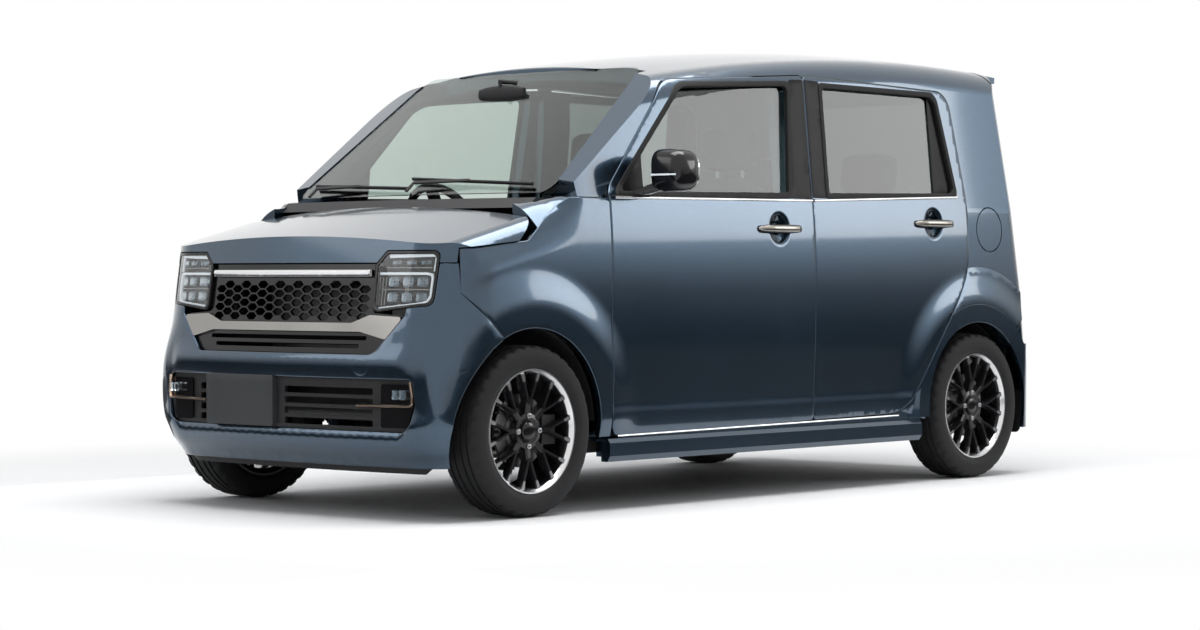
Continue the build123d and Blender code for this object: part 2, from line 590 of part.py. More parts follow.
with BuildPart() as bumper:
    add(front)
    add(prism("side", BUMPER, -900, 900, -0.1), mode=Mode.INTERSECT)
    add(front_in, mode=Mode.SUBTRACT)
    add(lamp_cut, mode=Mode.SUBTRACT)
    add(prism("front", UPPER_MOUTH, X_FA + 150, X_NOSE + 50), mode=Mode.SUBTRACT)
    add(prism("front", LOWER_MOUTH, X_FA + 150, X_NOSE + 50), mode=Mode.SUBTRACT)
    add(both_sides(prism("side", FENDER, 300, 900, half - 1)), mode=Mode.SUBTRACT)
    for y0, y1 in ((0, 900), (-900, 0)):
        add(arch(X_FA, ARCH_R, y0, y1), mode=Mode.SUBTRACT)
    y, z = FRONT_EYE
    add(rod((X_NOSE - EYE_IN - EYE_L - 12, y, z), (X_NOSE - EYE_IN + 7, y, z), EYE_CUP + 6))
    add(rod((X_NOSE - EYE_IN, y, z), (X_NOSE + 50, y, z), EYE_CUP), mode=Mode.SUBTRACT)
    add(rod((X_NOSE - EYE_IN - EYE_L, y, z), (X_NOSE + 50, y, z), EYE_R), mode=Mode.SUBTRACT)
save("front_bumper", bumper.part)

# Lamps and grilles in the nose, set back in their openings.
with BuildPart() as lamp:
    add(front)
    add(prism("front", LAMP, X_FA + 150, X_NOSE + 50), mode=Mode.INTERSECT)
    add(nose(70), mode=Mode.SUBTRACT)
save("headlamps", both_sides(lamp.part))

MESH_IN, MESH_T = SKIN + SEAT_GAP, 12
# Flattened honeycomb: pitch between cells in a row, pitch of the staggered rows, half lengths of a cell.
CELL_PITCH, ROW_PITCH, CELL_W, CELL_FLAT, CELL_H = 88, 15, 27.5, 12, 12.5
mesh_out, mesh_in = nose(MESH_IN), nose(MESH_IN + MESH_T)
MESH_TOP, MESH_LOW = 781, 640
with BuildPart() as upper_grille:
    add(mesh_out)
    add(prism("front", UPPER_MOUTH, X_FA + 150, X_NOSE + 50, -2), mode=Mode.INTERSECT)
    add(mesh_in, mode=Mode.SUBTRACT)
    with BuildSketch(Plane.YZ.offset(X_FA + 150)):
        for row in range(int((MESH_TOP - MESH_LOW - 2 * CELL_H) / ROW_PITCH) + 1):
            shift = row % 2 * CELL_PITCH / 2
            for i in range(-4, 5):
                y = i * CELL_PITCH + shift
                if abs(y) < 380 - CELL_W:
                    with Locations((y, MESH_LOW + CELL_H + row * ROW_PITCH)):
                        Polygon((-CELL_W, 0), (-CELL_FLAT, CELL_H), (CELL_FLAT, CELL_H), (CELL_W, 0),
                                (CELL_FLAT, -CELL_H), (-CELL_FLAT, -CELL_H))
    extrude(amount=X_NOSE - X_FA, mode=Mode.SUBTRACT)
    with BuildSketch(Plane.YZ.offset(X_FA + 150)):
        for i, w in enumerate((760, 700)):
            with Locations((0, 585 - 26 * i)):
                RectangleRounded(w, 14, 5)
    extrude(amount=X_NOSE - X_FA, mode=Mode.SUBTRACT)
save("upper_grille", upper_grille.part)

BAR = [(-384, 806, 4), (384, 806, 4), (388, 784, 4), (-388, 784, 4)]
with BuildPart() as garnish:
    for rows in (BAR, GARNISH):
        with BuildPart() as strip:
            add(front)
            add(prism("front", rows, X_FA + 150, X_NOSE + 50), mode=Mode.INTERSECT)
            add(mesh_out, mode=Mode.SUBTRACT)
        add(strip.part)
save("grille_garnish", garnish.part)

with BuildPart() as lower_grille:
    add(mesh_out)
    add(prism("front", LOWER_MOUTH, X_FA + 150, X_NOSE + 50, 10), mode=Mode.INTERSECT)
    add(mesh_in, mode=Mode.SUBTRACT)
    with BuildSketch(Plane.YZ.offset(X_FA + 150)):
        for i in range(4):
            for y in (-222, 222):
                with Locations((y, 312 + i * 34)):
                    RectangleRounded(400, 22, 6)
    extrude(amount=X_NOSE - X_FA, mode=Mode.SUBTRACT)
save("lower_grille", lower_grille.part)

# Fog-lamp corners of the lower mouth.
FOG = [(462, 440, 10), (585, 440, 20), (592, 373, 20), (572, 300, 20), (462, 300, 10)]
with BuildPart() as fog:
    add(nose(6))
    add(prism("front", FOG, X_FA + 150, X_NOSE + 50), mode=Mode.INTERSECT)
    add(mesh_out, mode=Mode.SUBTRACT)
save("fog_lamps", both_sides(fog.part))

# Side skirts under the doors.
SKIRT = [(HALF_W - 34, 163), (HALF_W - 6, 163), (HALF_W + 6, 182), (HALF_W + 6, 226),
         (HALF_W - 4, SKIRT_TOP), (HALF_W - 34, SKIRT_TOP)]
with BuildPart() as skirt:
    with BuildSketch(Plane.YZ.offset(X_RA + REAR_ARCH_R + 40)):
        with BuildLine():
            Polyline(SKIRT, close=True)
        make_face()
    extrude(amount=X_DOOR + 20 - (X_RA + REAR_ARCH_R + 40))
save("side_skirts", both_sides(skirt.part))

# Wheel-arch liners: arched covers over each wheel.
LINER_T, LINER_GAP = 7, 3
RAIL_Y0, RAIL_Y1 = 330, 390
liners = []
for x, radius, y0, y1, low in ((X_FA, ARCH_R, RAIL_Y1 + SEAT_GAP, HALF_W - 40, TYRE_R + 20),
                               (X_RA, REAR_ARCH_R, 530, HALF_W - WALL - 20, TYRE_R + 60)):
    with BuildPart() as liner:
        add(arch(x, radius + LINER_GAP + LINER_T, y0, y1))
        add(arch(x, radius + LINER_GAP, y0 + LINER_T, y1), mode=Mode.SUBTRACT)
        add(block(x - 500, x + 500, 0, 900, low, 900), mode=Mode.INTERSECT)
        if x == X_FA:
            add(block(x - 55, x + 55, y0 - 10, WHEEL_Y - 85, 380, 900), mode=Mode.SUBTRACT)
            add(nose(SKIN + 5), mode=Mode.INTERSECT)
    liners.append(liner.part)
with BuildPart() as all_liners:
    for part in liners:
        add(both_sides(part))
save("arch_liners", all_liners.part)

# Front frame: side rails, radiator beam, strut towers, lower arms and struts.
PIN_Y, PIN_LOW, PIN_TOP, PIN_R = WHEEL_Y - 50, 150, 405, 10
STRUT_Y = PIN_Y - 82
with BuildPart() as front_frame:
    add(both_sides(block(FIREWALL_X, X_NOSE - 120, RAIL_Y0, RAIL_Y1, 385, 470)))
    add(block(X_NOSE - 150, X_NOSE - 110, -RAIL_Y1, RAIL_Y1, 385, 440))
    add(block(X_NOSE - 150, X_NOSE - 110, -RAIL_Y1, RAIL_Y1, 560, 600))
    add(both_sides(block(X_NOSE - 150, X_NOSE - 110, RAIL_Y0, RAIL_Y1, 385, 745)))
    for deep, part in ((SKIN, block(X_NOSE - 112, X_NOSE, RAIL_Y0, RAIL_Y1, 484, 512)),
                       (70, block(X_NOSE - 150, X_NOSE, RAIL_Y0, RAIL_Y1 + 70, 705, 745)),
                       (SKIN, block(X_FA - 15, X_FA + 15, 480, 510, 852, 1050))):
        with BuildPart() as seat:
            add(part)
            add(nose(deep + SEAT_GAP), mode=Mode.INTERSECT)
        add(both_sides(seat.part))
    add(both_sides(block(X_FA - 45, X_FA + 45, RAIL_Y0, RAIL_Y1, 200, 860)))
    add(both_sides(block(X_FA - 45, X_FA + 45, RAIL_Y0, STRUT_Y + 35, 845, 860)))
    add(block(X_FA - 45, X_FA + 45, -RAIL_Y1, RAIL_Y1, 200, 250))
    strut = [rod((X_FA, STRUT_Y, PIN_TOP - 20), (X_FA, STRUT_Y, 850), 24),
             block(X_FA - 20, X_FA + 20, STRUT_Y, PIN_Y + 18, PIN_TOP - 20, PIN_TOP),
             block(X_FA - 24, X_FA + 24, RAIL_Y0, PIN_Y + 18, PIN_LOW, PIN_LOW + 20),
             block(X_FA - 45, X_FA + 45, RAIL_Y0, RAIL_Y1, PIN_LOW, 210)]
    for part in strut:
        add(both_sides(part))
    for y in (PIN_Y, -PIN_Y):
        add(rod((X_FA, y, PIN_LOW - 5), (X_FA, y, PIN_TOP + 5), PIN_R), mode=Mode.SUBTRACT)
save("front_frame", front_frame.part)

# Steering knuckles: king pin, spindle, steering arm and brake caliper.
SPINDLE_R = 22
with BuildPart() as knuckle:
    add(rod((X_FA, PIN_Y, PIN_LOW), (X_FA, PIN_Y, PIN_TOP), PIN_R - FIT))
    add(block(X_FA - 26, X_FA + 26, PIN_Y - 16, PIN_Y + 16, PIN_LOW + 26, PIN_TOP - 26))
    add(rod((X_FA, PIN_Y - 16, TYRE_R), (X_FA, WHEEL_Y - 15, TYRE_R), 42))
    add(rod((X_FA, PIN_Y, TYRE_R), (X_FA, WHEEL_Y + 38, TYRE_R), SPINDLE_R - FIT))
    add(block(X_FA - 118, X_FA, PIN_Y - 12, PIN_Y + 6, TYRE_R - 75, TYRE_R - 57))
    add(block(X_FA - 152, X_FA - 20, PIN_Y - 6, PIN_Y + 14, TYRE_R - 30, TYRE_R + 30))
    add(block(X_FA - 152, X_FA - 90, PIN_Y + 4, WHEEL_Y + 30, TYRE_R - 48, TYRE_R + 48))
    add(block(X_FA - 134, X_FA - 80, WHEEL_Y + 0, WHEEL_Y + 20, TYRE_R - 70, TYRE_R + 70), mode=Mode.SUBTRACT)
save("knuckle_left", knuckle.part)
with BuildPart() as knuckle_right:
    mirror(knuckle.part, about=Plane.XZ)
save("knuckle_right", knuckle_right.part)

# Wheels: forked-spoke alloy rim with its hub and brake disc in one, and the tyre.
RIM_HALF = 72
SEAT_W = 62
RIM = [(-72, 204), (-66, 204), (-62, 190), (62, 190), (66, 204), (72, 204), (72, 195),
       (63, 181), (-63, 181), (-72, 195)]
TYRE = [(-62, 190), (-66, 204), (-73, 205), (-82.5, 232), (-80, 262), (-66, 277), (-40, 281), (40, 281),
        (66, 277), (80, 262), (82.5, 232), (73, 205), (66, 204), (62, 190)]
SPOKES = 8
FACE_OUT, FACE_T = 66, 22
HUB_R, HUB_IN, DISC_R = 58, -8, 122


def wheel(x, side):
    y = side * WHEEL_Y
    axial = Plane(origin=(x, y, TYRE_R), x_dir=(0, side, 0), z_dir=(side, 0, 0))
    spin = Axis((x, y, TYRE_R), (0, 1, 0))
    face = Plane(origin=(x, y + side * (FACE_OUT - FACE_T), TYRE_R), x_dir=(1, 0, 0), z_dir=(0, side, 0))
    with BuildPart() as rim:
        with BuildSketch(axial):
            with BuildLine():
                Polyline(RIM, close=True)
            make_face()
        revolve(axis=spin)
        with BuildSketch(face):
            Circle(HUB_R)
            for i in range(SPOKES):
                a = 2 * pi * (i + 0.5) / SPOKES
                fork = (92 * cos(a), 92 * sin(a))
                root = (50 * cos(a), 50 * sin(a))
                for turn in (-0.2, 0.2):
                    tip = (186 * cos(a + turn), 186 * sin(a + turn))
                    n = hypot(tip[0] - fork[0], tip[1] - fork[1])
                    u = ((tip[1] - fork[1]) / n * 6.5, (fork[0] - tip[0]) / n * 6.5)
                    Polygon((fork[0] + u[0], fork[1] + u[1]), (tip[0] + u[0], tip[1] + u[1]),
                            (tip[0] - u[0], tip[1] - u[1]), (fork[0] - u[0], fork[1] - u[1]), align=None)
                t = (-sin(a) * 11, cos(a) * 11)
                Polygon((root[0] + t[0], root[1] + t[1]), (fork[0] * 1.06 + t[0], fork[1] * 1.06 + t[1]),
                        (fork[0] * 1.06 - t[0], fork[1] * 1.06 - t[1]), (root[0] - t[0], root[1] - t[1]), align=None)
        extrude(amount=FACE_T)
        add(rod((x, y + side * HUB_IN, TYRE_R), (x, y + side * FACE_OUT, TYRE_R), HUB_R))
        add(rod((x, y + side * 5, TYRE_R), (x, y + side * 15, TYRE_R), DISC_R))
        add(rod((x, y - side * 20, TYRE_R), (x, y + side * 44, TYRE_R), SPINDLE_R), mode=Mode.SUBTRACT)
    with BuildPart() as tyre:
        with BuildSketch(axial):
            with BuildLine():
                Polyline(TYRE, close=True)
            make_face()
        revolve(axis=spin)
    return rim.part, tyre.part


for name, x, side in (("front_left", X_FA, 1), ("front_right", X_FA, -1),
                      ("rear_left", X_RA, 1), ("rear_right", X_RA, -1)):
    rim, tyre = wheel(x, side)
    save(f"wheel_{name}", rim)
    save(f"tyre_{name}", tyre)

# Floor pan with firewall, tunnel ribs and cleared wheel wells.
STEP_X, DECK_Z = X_RA + 470, 390
with BuildPart() as floor_pan:
    deck_y = HALF_W - 74 - SEAT_GAP
    add(block(STEP_X, FIREWALL_X, -deck_y, deck_y, 192, FLOOR_Z - SEAT_GAP))
    add(block(STEP_X, STEP_X + 20, -deck_y, deck_y, 192, DECK_Z + 28))
    add(block(X_TAIL + 95, STEP_X + 20, -deck_y, deck_y, DECK_Z, DECK_Z + 28))
    add(block(X_TAIL + 95, X_TAIL + 115, -deck_y, deck_y, 240, 500))
    add(block(FIREWALL_X - 18, FIREWALL_X, -390, 390, 192, 1012))
    add(block(FIREWALL_X - 18, FIREWALL_X, -(HALF_W - 145), HALF_W - 145, 640, 1012))
    add(both_sides(block(STEP_X, FIREWALL_X - 18, 330, 390, 170, 200)))
    for x, radius, y0 in ((X_FA, ARCH_R + 14, 392), (X_RA, REAR_ARCH_R + 10 + SEAT_GAP, 530 - SEAT_GAP)):
        add(both_sides(arch(x, radius, y0, 900)), mode=Mode.SUBTRACT)
save("floor_pan", floor_pan.part)

# Cowl panel between the bonnet and the windscreen.
with BuildPart() as cowl:
    add(block(FIREWALL_X - 18, X_FA + 60, -610, 610, 1012, BELT_Z - 4))
    add(screen_cutter(-14), mode=Mode.SUBTRACT)
    add(block(FIREWALL_X - 30, FIREWALL_X + 40, 540, 900, 900, 1200), mode=Mode.SUBTRACT)
    add(block(FIREWALL_X - 30, FIREWALL_X + 40, -900, -540, 900, 1200), mode=Mode.SUBTRACT)
save("cowl_panel", cowl.part)

# Engine and gearbox as one plain block on the side rails.
with BuildPart() as engine:
    add(block(X_FA - 170, X_FA + 190, SEAT_GAP - RAIL_Y0, RAIL_Y0 - SEAT_GAP, 300, 780))
    fillet(engine.edges().filter_by(Axis.Y), radius=40)
save("engine_block", engine.part)

# Rear torsion-beam axle with spindles.
with BuildPart() as rear_axle:
    add(both_sides(block(X_RA - 60, STEP_X, 450, 500, TYRE_R - 40, TYRE_R + 25)))
    add(block(X_RA + 180, X_RA + 250, -500, 500, TYRE_R - 35, TYRE_R + 20))
    for side in (1, -1):
        add(rod((X_RA, side * 480, TYRE_R), (X_RA, side * (WHEEL_Y - 15), TYRE_R), 45))
        add(rod((X_RA, side * 480, TYRE_R), (X_RA, side * (WHEEL_Y + 38), TYRE_R), SPINDLE_R - FIT))
save("rear_axle", rear_axle.part)

# Exhaust with rear silencer, and the fuel tank under the rear seat.
with BuildPart() as exhaust:
    add(rod((X_FA - 80, 120, 170 - SEAT_GAP), (X_RA - 120, 120, 170 - SEAT_GAP), 22))
    add(block(X_RA - 300, X_RA - 70, -260, 260, 155, 270))
    add(rod((X_RA - 240, 200, 195), (X_TAIL + 14, 200, 195), 20))
save("exhaust", exhaust.part)
with BuildPart() as tank:
    add(block(X_RA + 480, X_RA + 900, -320, 80, 140, 192 - SEAT_GAP))
save("fuel_tank", tank.part)

# Dashboard across the cabin, with the steering column.
DASH = [(FIREWALL_X - 18 - SEAT_GAP, 1005), (FIREWALL_X - 190, 1020), (FIREWALL_X - 290, 985), (FIREWALL_X - 310, 900),
        (FIREWALL_X - 240, 720), (FIREWALL_X - 18 - SEAT_GAP, 700)]
DRIVER_Y = -330
COLUMN = (FIREWALL_X - 300, 905)
RAKE = 25
away = (-cos(radians(RAKE)), sin(radians(RAKE)))
HUB = (COLUMN[0] + 110 * away[0], COLUMN[1] + 110 * away[1])
with BuildPart() as dash:
    with BuildSketch(Plane.XZ):
        with BuildLine():
            Polyline(DASH, close=True)
        make_face()
    extrude(amount=HALF_W - 146, both=True)
    add(rod((COLUMN[0] + 60, DRIVER_Y, COLUMN[1] - 60 * away[1] / -away[0]),
            (HUB[0] - 35 * away[0], DRIVER_Y, HUB[1] - 35 * away[1]), 30))
    add(rod((HUB[0] - 36 * away[0], DRIVER_Y, HUB[1] - 36 * away[1]),
            (HUB[0] + 10 * away[0], DRIVER_Y, HUB[1] + 10 * away[1]), 9.94))
save("dashboard", dash.part)

wheel_plane = Plane(origin=(HUB[0], DRIVER_Y, HUB[1]), x_dir=(0, 1, 0), z_dir=(away[0], 0, away[1]))
with BuildPart() as steering:
    with BuildSketch(Plane(origin=wheel_plane.origin, x_dir=wheel_plane.x_dir, z_dir=wheel_plane.y_dir)):
        with Locations((172, 0)):
            Circle(15)
    revolve(axis=Axis(wheel_plane.origin, wheel_plane.z_dir))
    with BuildSketch(wheel_plane.offset(-12)):
        Circle(60)
        Rectangle(344, 34)
        with Locations((0, -86)):
            Rectangle(40, 172)
    extrude(amount=24)
    with BuildSketch(wheel_plane.offset(-13)):
        Circle(10)
    extrude(amount=24, mode=Mode.SUBTRACT)
save("steering_wheel", steering.part)

# Seats: two in front, a bench behind, each with its headrests.
FRONT_SEAT = [(X_B + 690, 400, 30), (X_B + 690, 585, 60), (X_B + 250, 545, 60), (X_B + 70, 1150, 40),
              (X_B - 25, 1140, 40), (X_B + 120, 520, 40), (X_B + 150, 400, 30)]
REAR_SEAT = [(X_RA + 780, 425, 30), (X_RA + 780, 610, 60), (X_RA + 360, 580, 60), (X_RA + 180, 1085, 40),
             (X_RA + 85, 1075, 40), (X_RA + 230, 520, 40), (X_RA + 260, 425, 30)]


def head_rest(x, y, z):
    with BuildPart() as rest:
        add(block(x - 45, x + 45, y - 125, y + 125, z + 30, z + 190))
        fillet(rest.edges(), radius=28)
        for off in (-60, 60):
            add(rod((x, y + off, z - 40), (x, y + off, z + 60), 7))
    return rest.part


with BuildPart() as seats:
    for y in (330, -330):
        with BuildPart() as seat:
            add(prism("side", FRONT_SEAT, y - 245, y + 245))
            fillet(seat.faces().filter_by(Axis.Y).edges(), radius=24)
            add(head_rest(X_B + 15, y, 1145))
            add(block(X_B + 180, X_B + 640, y - 180, y + 180, FLOOR_Z, 410))
        add(seat.part)
save("front_seats", seats.part)
with BuildPart() as bench:
    add(prism("side", REAR_SEAT, -518, 518))
    fillet(bench.faces().filter_by(Axis.Y).edges(), radius=24)
    for y in (300, -300):
        add(head_rest(X_RA + 130, y, 1078))
    add(block(STEP_X + 25, X_RA + 740, -480, 480, FLOOR_Z, 440))
    add(block(X_RA + 280, STEP_X + 25, -480, 480, DECK_Z + 28, 440))
save("rear_seat", bench.part)
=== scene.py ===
from math import acos, asin, atan2, ceil, cos, hypot, pi, radians, sin, sqrt

import bmesh
import bpy
from mathutils import Matrix, Vector, geometry
from mathutils.bvhtree import BVHTree


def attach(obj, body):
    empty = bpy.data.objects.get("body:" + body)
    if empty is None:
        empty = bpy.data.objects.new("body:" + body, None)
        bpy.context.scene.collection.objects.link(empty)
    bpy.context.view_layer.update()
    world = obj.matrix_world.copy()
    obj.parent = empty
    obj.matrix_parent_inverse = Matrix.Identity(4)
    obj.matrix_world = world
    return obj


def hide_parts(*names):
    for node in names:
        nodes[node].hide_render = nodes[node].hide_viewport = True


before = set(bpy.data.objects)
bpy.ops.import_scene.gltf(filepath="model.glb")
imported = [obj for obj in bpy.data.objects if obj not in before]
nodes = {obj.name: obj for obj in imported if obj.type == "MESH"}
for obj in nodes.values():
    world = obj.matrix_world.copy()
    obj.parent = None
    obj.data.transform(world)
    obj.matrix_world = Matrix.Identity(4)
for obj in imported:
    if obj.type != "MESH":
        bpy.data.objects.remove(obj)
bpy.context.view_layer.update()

# The studio: a pale floor that fades to white, one broad soft box overhead and two lower ones, at the left rear and
# the front right. Black felt boards that only reflections see darken the lower half of the paint and thin out upwards.
CAMERA_AT = (8.073, 7.152, 0.785)
CAMERA_YAW, CAMERA_PITCH = radians(221.91), radians(-0.77)
LENS_MM, SENSOR_MM = 86.66, 36.0
# name, place, target, width, height, watts
BOXES = (("overhead_box", (0.2, 0.6, 4.8), (0.0, 0.0, 0.6), 5.6, 2.8, 300),
         ("left_box", (-7.6, 6.8, 3.1), (0.0, 0.7, 1.0), 3.2, 2.8, 120),
         ("front_box", (8.8, -5.6, 4.6), (1.4, 0.0, 0.8), 4.2, 3.4, 75))
FLOOR_HALF, FLOOR_FADE = 40, (1.9, 3.8)
FELT_Z, FLAG_TOP, FLAG_FADE = 0.004, 2.5, (0.1, 2.2)
# name, x0, x1, y0, y1: felts lie on the floor, flags stand on the line between the two corners
FELTS = (("left_felt", 2.6, -16.0, 1.7, 12.0), ("right_felt", 2.6, -16.0, -1.7, -12.0),
         ("front_felt", 2.7, 13.0, 1.6, -10.0))
FLAGS = (("left_flag", -16.0, 4.0, -0.5, 17.8), ("front_flag", 3.5, 14.0, -11.0, 1.0))


def place(name, data):
    piece = bpy.data.objects.new(name, data)
    scene.collection.objects.link(piece)
    return piece


def add_node(tree, kind, **values):
    """A shader node with its settings, and its inputs' values by name."""
    node = tree.nodes.new(kind)
    for key, value in values.items():
        if hasattr(node, key):
            setattr(node, key, value)
        else:
            node.inputs[key.replace("_", " ")].default_value = value
    return node


def wire(tree, *pairs):
    for source, target in pairs:
        tree.links.new(source, target)


def seen_rays(tree):
    """One for rays from the camera, through glass or off a shiny face, else zero."""
    rays = add_node(tree, "ShaderNodeLightPath")
    seen, also = (add_node(tree, "ShaderNodeMath", operation="MAXIMUM") for _ in range(2))
    wire(tree, (rays.outputs["Is Camera Ray"], seen.inputs[0]), (rays.outputs["Is Transmission Ray"], seen.inputs[1]),
         (rays.outputs["Is Glossy Ray"], also.inputs[0]), (seen.outputs[0], also.inputs[1]))
    return also.outputs[0]


def faded(tree, value, ends):
    """Zero to one, smoothly, while a value goes from one end to the other."""
    node = add_node(tree, "ShaderNodeMapRange", interpolation_type="SMOOTHSTEP", From_Min=ends[0], From_Max=ends[1])
    wire(tree, (value, node.inputs["Value"]))
    return node.outputs["Result"]


def blended(tree, factor, one, two, output):
    """Two shaders mixed by a factor, sent to the output."""
    node = add_node(tree, "ShaderNodeMixShader")
    wire(tree, (factor, node.inputs["Fac"]), (one.outputs[0], node.inputs[1]), (two.outputs[0], node.inputs[2]),
         (node.outputs[0], output.inputs["Surface"]))


def material(name, **values):
    mat = bpy.data.materials.new(name)
    mat.use_nodes = True
    bsdf = mat.node_tree.nodes["Principled BSDF"]
    for key, value in values.items():
        bsdf.inputs[key.replace("_", " ")].default_value = value
    return mat, mat.node_tree, bsdf


def wear(piece, mat):
    piece.data.materials.clear()
    piece.data.materials.append(mat)


def board(name, mat, corners):
    mesh = bpy.data.meshes.new(name)
    mesh.from_pydata(corners, [], [tuple(range(len(corners)))])
    sheet = place(name, mesh)
    wear(sheet, mat)
    return sheet


scene = bpy.context.scene
scene.view_settings.view_transform = "Standard"
camera = place("camera", bpy.data.cameras.new("camera"))
camera.data.lens, camera.data.sensor_width = LENS_MM, SENSOR_MM
camera.location = CAMERA_AT
look = Vector((cos(CAMERA_YAW) * cos(CAMERA_PITCH), sin(CAMERA_YAW) * cos(CAMERA_PITCH), sin(CAMERA_PITCH)))
camera.rotation_euler = look.to_track_quat("-Z", "Y").to_euler()
scene.camera = camera
for name, at, target, width, height, watts in BOXES:
    light = bpy.data.lights.new(name, "AREA")
    light.shape = "RECTANGLE"
    light.size, light.size_y = width, height
    light.energy = watts
    lamp = place(name, light)
    lamp.location = at
    lamp.rotation_euler = (Vector(target) - Vector(at)).to_track_quat("-Z", "Y").to_euler()
    lamp.visible_transmission = False

world = bpy.data.worlds.new("studio")
scene.world = world
world.use_nodes = True
net = world.node_tree
net.nodes.clear()
coords = add_node(net, "ShaderNodeTexCoord")
split = add_node(net, "ShaderNodeSeparateXYZ")
lift = add_node(net, "ShaderNodeMapRange", From_Min=-1)
sky = add_node(net, "ShaderNodeValToRGB")
for stop, at, colour in zip(sky.color_ramp.elements, (0.50, 0.78), ((0.20, 0.21, 0.23, 1), (0.85, 0.87, 0.9, 1))):
    stop.position, stop.color = at, colour
ambient = add_node(net, "ShaderNodeBackground", Strength=0.55)
backdrop = add_node(net, "ShaderNodeBackground", Color=(1, 1, 1, 1))
wire(net, (coords.outputs["Generated"], split.inputs[0]), (split.outputs["Z"], lift.inputs["Value"]),
     (lift.outputs["Result"], sky.inputs["Fac"]), (sky.outputs["Color"], ambient.inputs["Color"]))
blended(net, seen_rays(net), ambient, backdrop, add_node(net, "ShaderNodeOutputWorld"))

floor_mat, net, bsdf = material("studio_floor", Base_Color=(0.9, 0.9, 0.9, 1), Roughness=0.7)
coords = add_node(net, "ShaderNodeTexCoord")
away = add_node(net, "ShaderNodeVectorMath", operation="LENGTH")
share = add_node(net, "ShaderNodeMath", operation="MULTIPLY")
wire(net, (coords.outputs["Object"], away.inputs[0]), (seen_rays(net), share.inputs[1]),
     (faded(net, away.outputs["Value"], FLOOR_FADE), share.inputs[0]))
blended(net, share.outputs[0], bsdf, add_node(net, "ShaderNodeEmission"), net.nodes["Material Output"])
board("floor", floor_mat, [(FLOOR_HALF * a, FLOOR_HALF * b, 0) for a, b in ((-1, -1), (1, -1), (1, 1), (-1, 1))])

felt_mat, net, bsdf = material("black_felt", Base_Color=(0.012, 0.012, 0.013, 1), Roughness=0.95)
where = add_node(net, "ShaderNodeNewGeometry")
split = add_node(net, "ShaderNodeSeparateXYZ")
wire(net, (where.outputs["Position"], split.inputs[0]))
blended(net, faded(net, split.outputs["Z"], FLAG_FADE), bsdf, add_node(net, "ShaderNodeBsdfTransparent"),
        net.nodes["Material Output"])
sheets = [board(name, felt_mat, [(x0, y0, FELT_Z), (x0, y1, FELT_Z), (x1, y1, FELT_Z), (x1, y0, FELT_Z)])
          for name, x0, x1, y0, y1 in FELTS]
sheets += [board(name, felt_mat, [(x0, y0, 0), (x1, y1, 0), (x1, y1, FLAG_TOP), (x0, y0, FLAG_TOP)])
           for name, x0, x1, y0, y1 in FLAGS]
for sheet in sheets:
    sheet.visible_camera = sheet.visible_shadow = sheet.visible_diffuse = sheet.visible_transmission = False


# Paint: every pressing is dipped in a black coat first. What shows is sprayed with a blue-grey metallic base coat and a
# clear coat; the flakes glitter at close range.
def group(name, inputs, outputs):
    """A node group with its input and output sockets."""
    tree = bpy.data.node_groups.new(name, "ShaderNodeTree")
    for label, kind, value in inputs:
        socket = tree.interface.new_socket(label, in_out="INPUT", socket_type=kind)
        socket.default_value = value
    for label, kind in outputs:
        tree.interface.new_socket(label, in_out="OUTPUT", socket_type=kind)
    return tree, tree.nodes.new("NodeGroupInput"), tree.nodes.new("NodeGroupOutput")


def mixed(tree, low, high, factor):
    """Colour between two sockets, by a factor socket."""
    node = add_node(tree, "ShaderNodeMix", data_type="RGBA")
    wire(tree, (factor, node.inputs["Factor"]), (low, node.inputs[6]), (high, node.inputs[7]))
    return node.outputs[2]


def grouped(name, look, values, **others):
    """A material whose colour, roughness and normal come from a node group."""
    mat, net, bsdf = material(name, **others)
    node = net.nodes.new("ShaderNodeGroup")
    node.node_tree = look
    for key, value in values.items():
        node.inputs[key].default_value = value
    for socket in node.outputs:
        wire(net, (socket, bsdf.inputs["Base Color" if socket.name == "Colour" else socket.name]))
    return mat


flake, inner, outer = group("metal_flake", [("Colour", "NodeSocketColor", (0.1, 0.1, 0.1, 1)),
                                           ("Glint", "NodeSocketColor", (0.3, 0.3, 0.3, 1)),
                                           ("Size", "NodeSocketFloat", 900.0)],
                            [("Colour", "NodeSocketColor"), ("Roughness", "NodeSocketFloat")])
coords = add_node(flake, "ShaderNodeTexCoord")
cells = add_node(flake, "ShaderNodeTexVoronoi")
pick = add_node(flake, "ShaderNodeSeparateColor")
rare = add_node(flake, "ShaderNodeMapRange", From_Min=0.72, From_Max=1.0, To_Max=0.55)
cloud = add_node(flake, "ShaderNodeTexNoise", Scale=2.2, Detail=2.0)
dull = add_node(flake, "ShaderNodeMapRange", To_Min=0.20, To_Max=0.27)
wire(flake, (coords.outputs["Object"], cells.inputs["Vector"]), (inner.outputs["Size"], cells.inputs["Scale"]),
     (cells.outputs["Color"], pick.inputs[0]), (pick.outputs[0], rare.inputs["Value"]),
     (coords.outputs["Object"], cloud.inputs["Vector"]), (cloud.outputs["Fac"], dull.inputs["Value"]),
     (mixed(flake, inner.outputs["Colour"], inner.outputs["Glint"], rare.outputs["Result"]), outer.inputs["Colour"]),
     (dull.outputs["Result"], outer.inputs["Roughness"]))

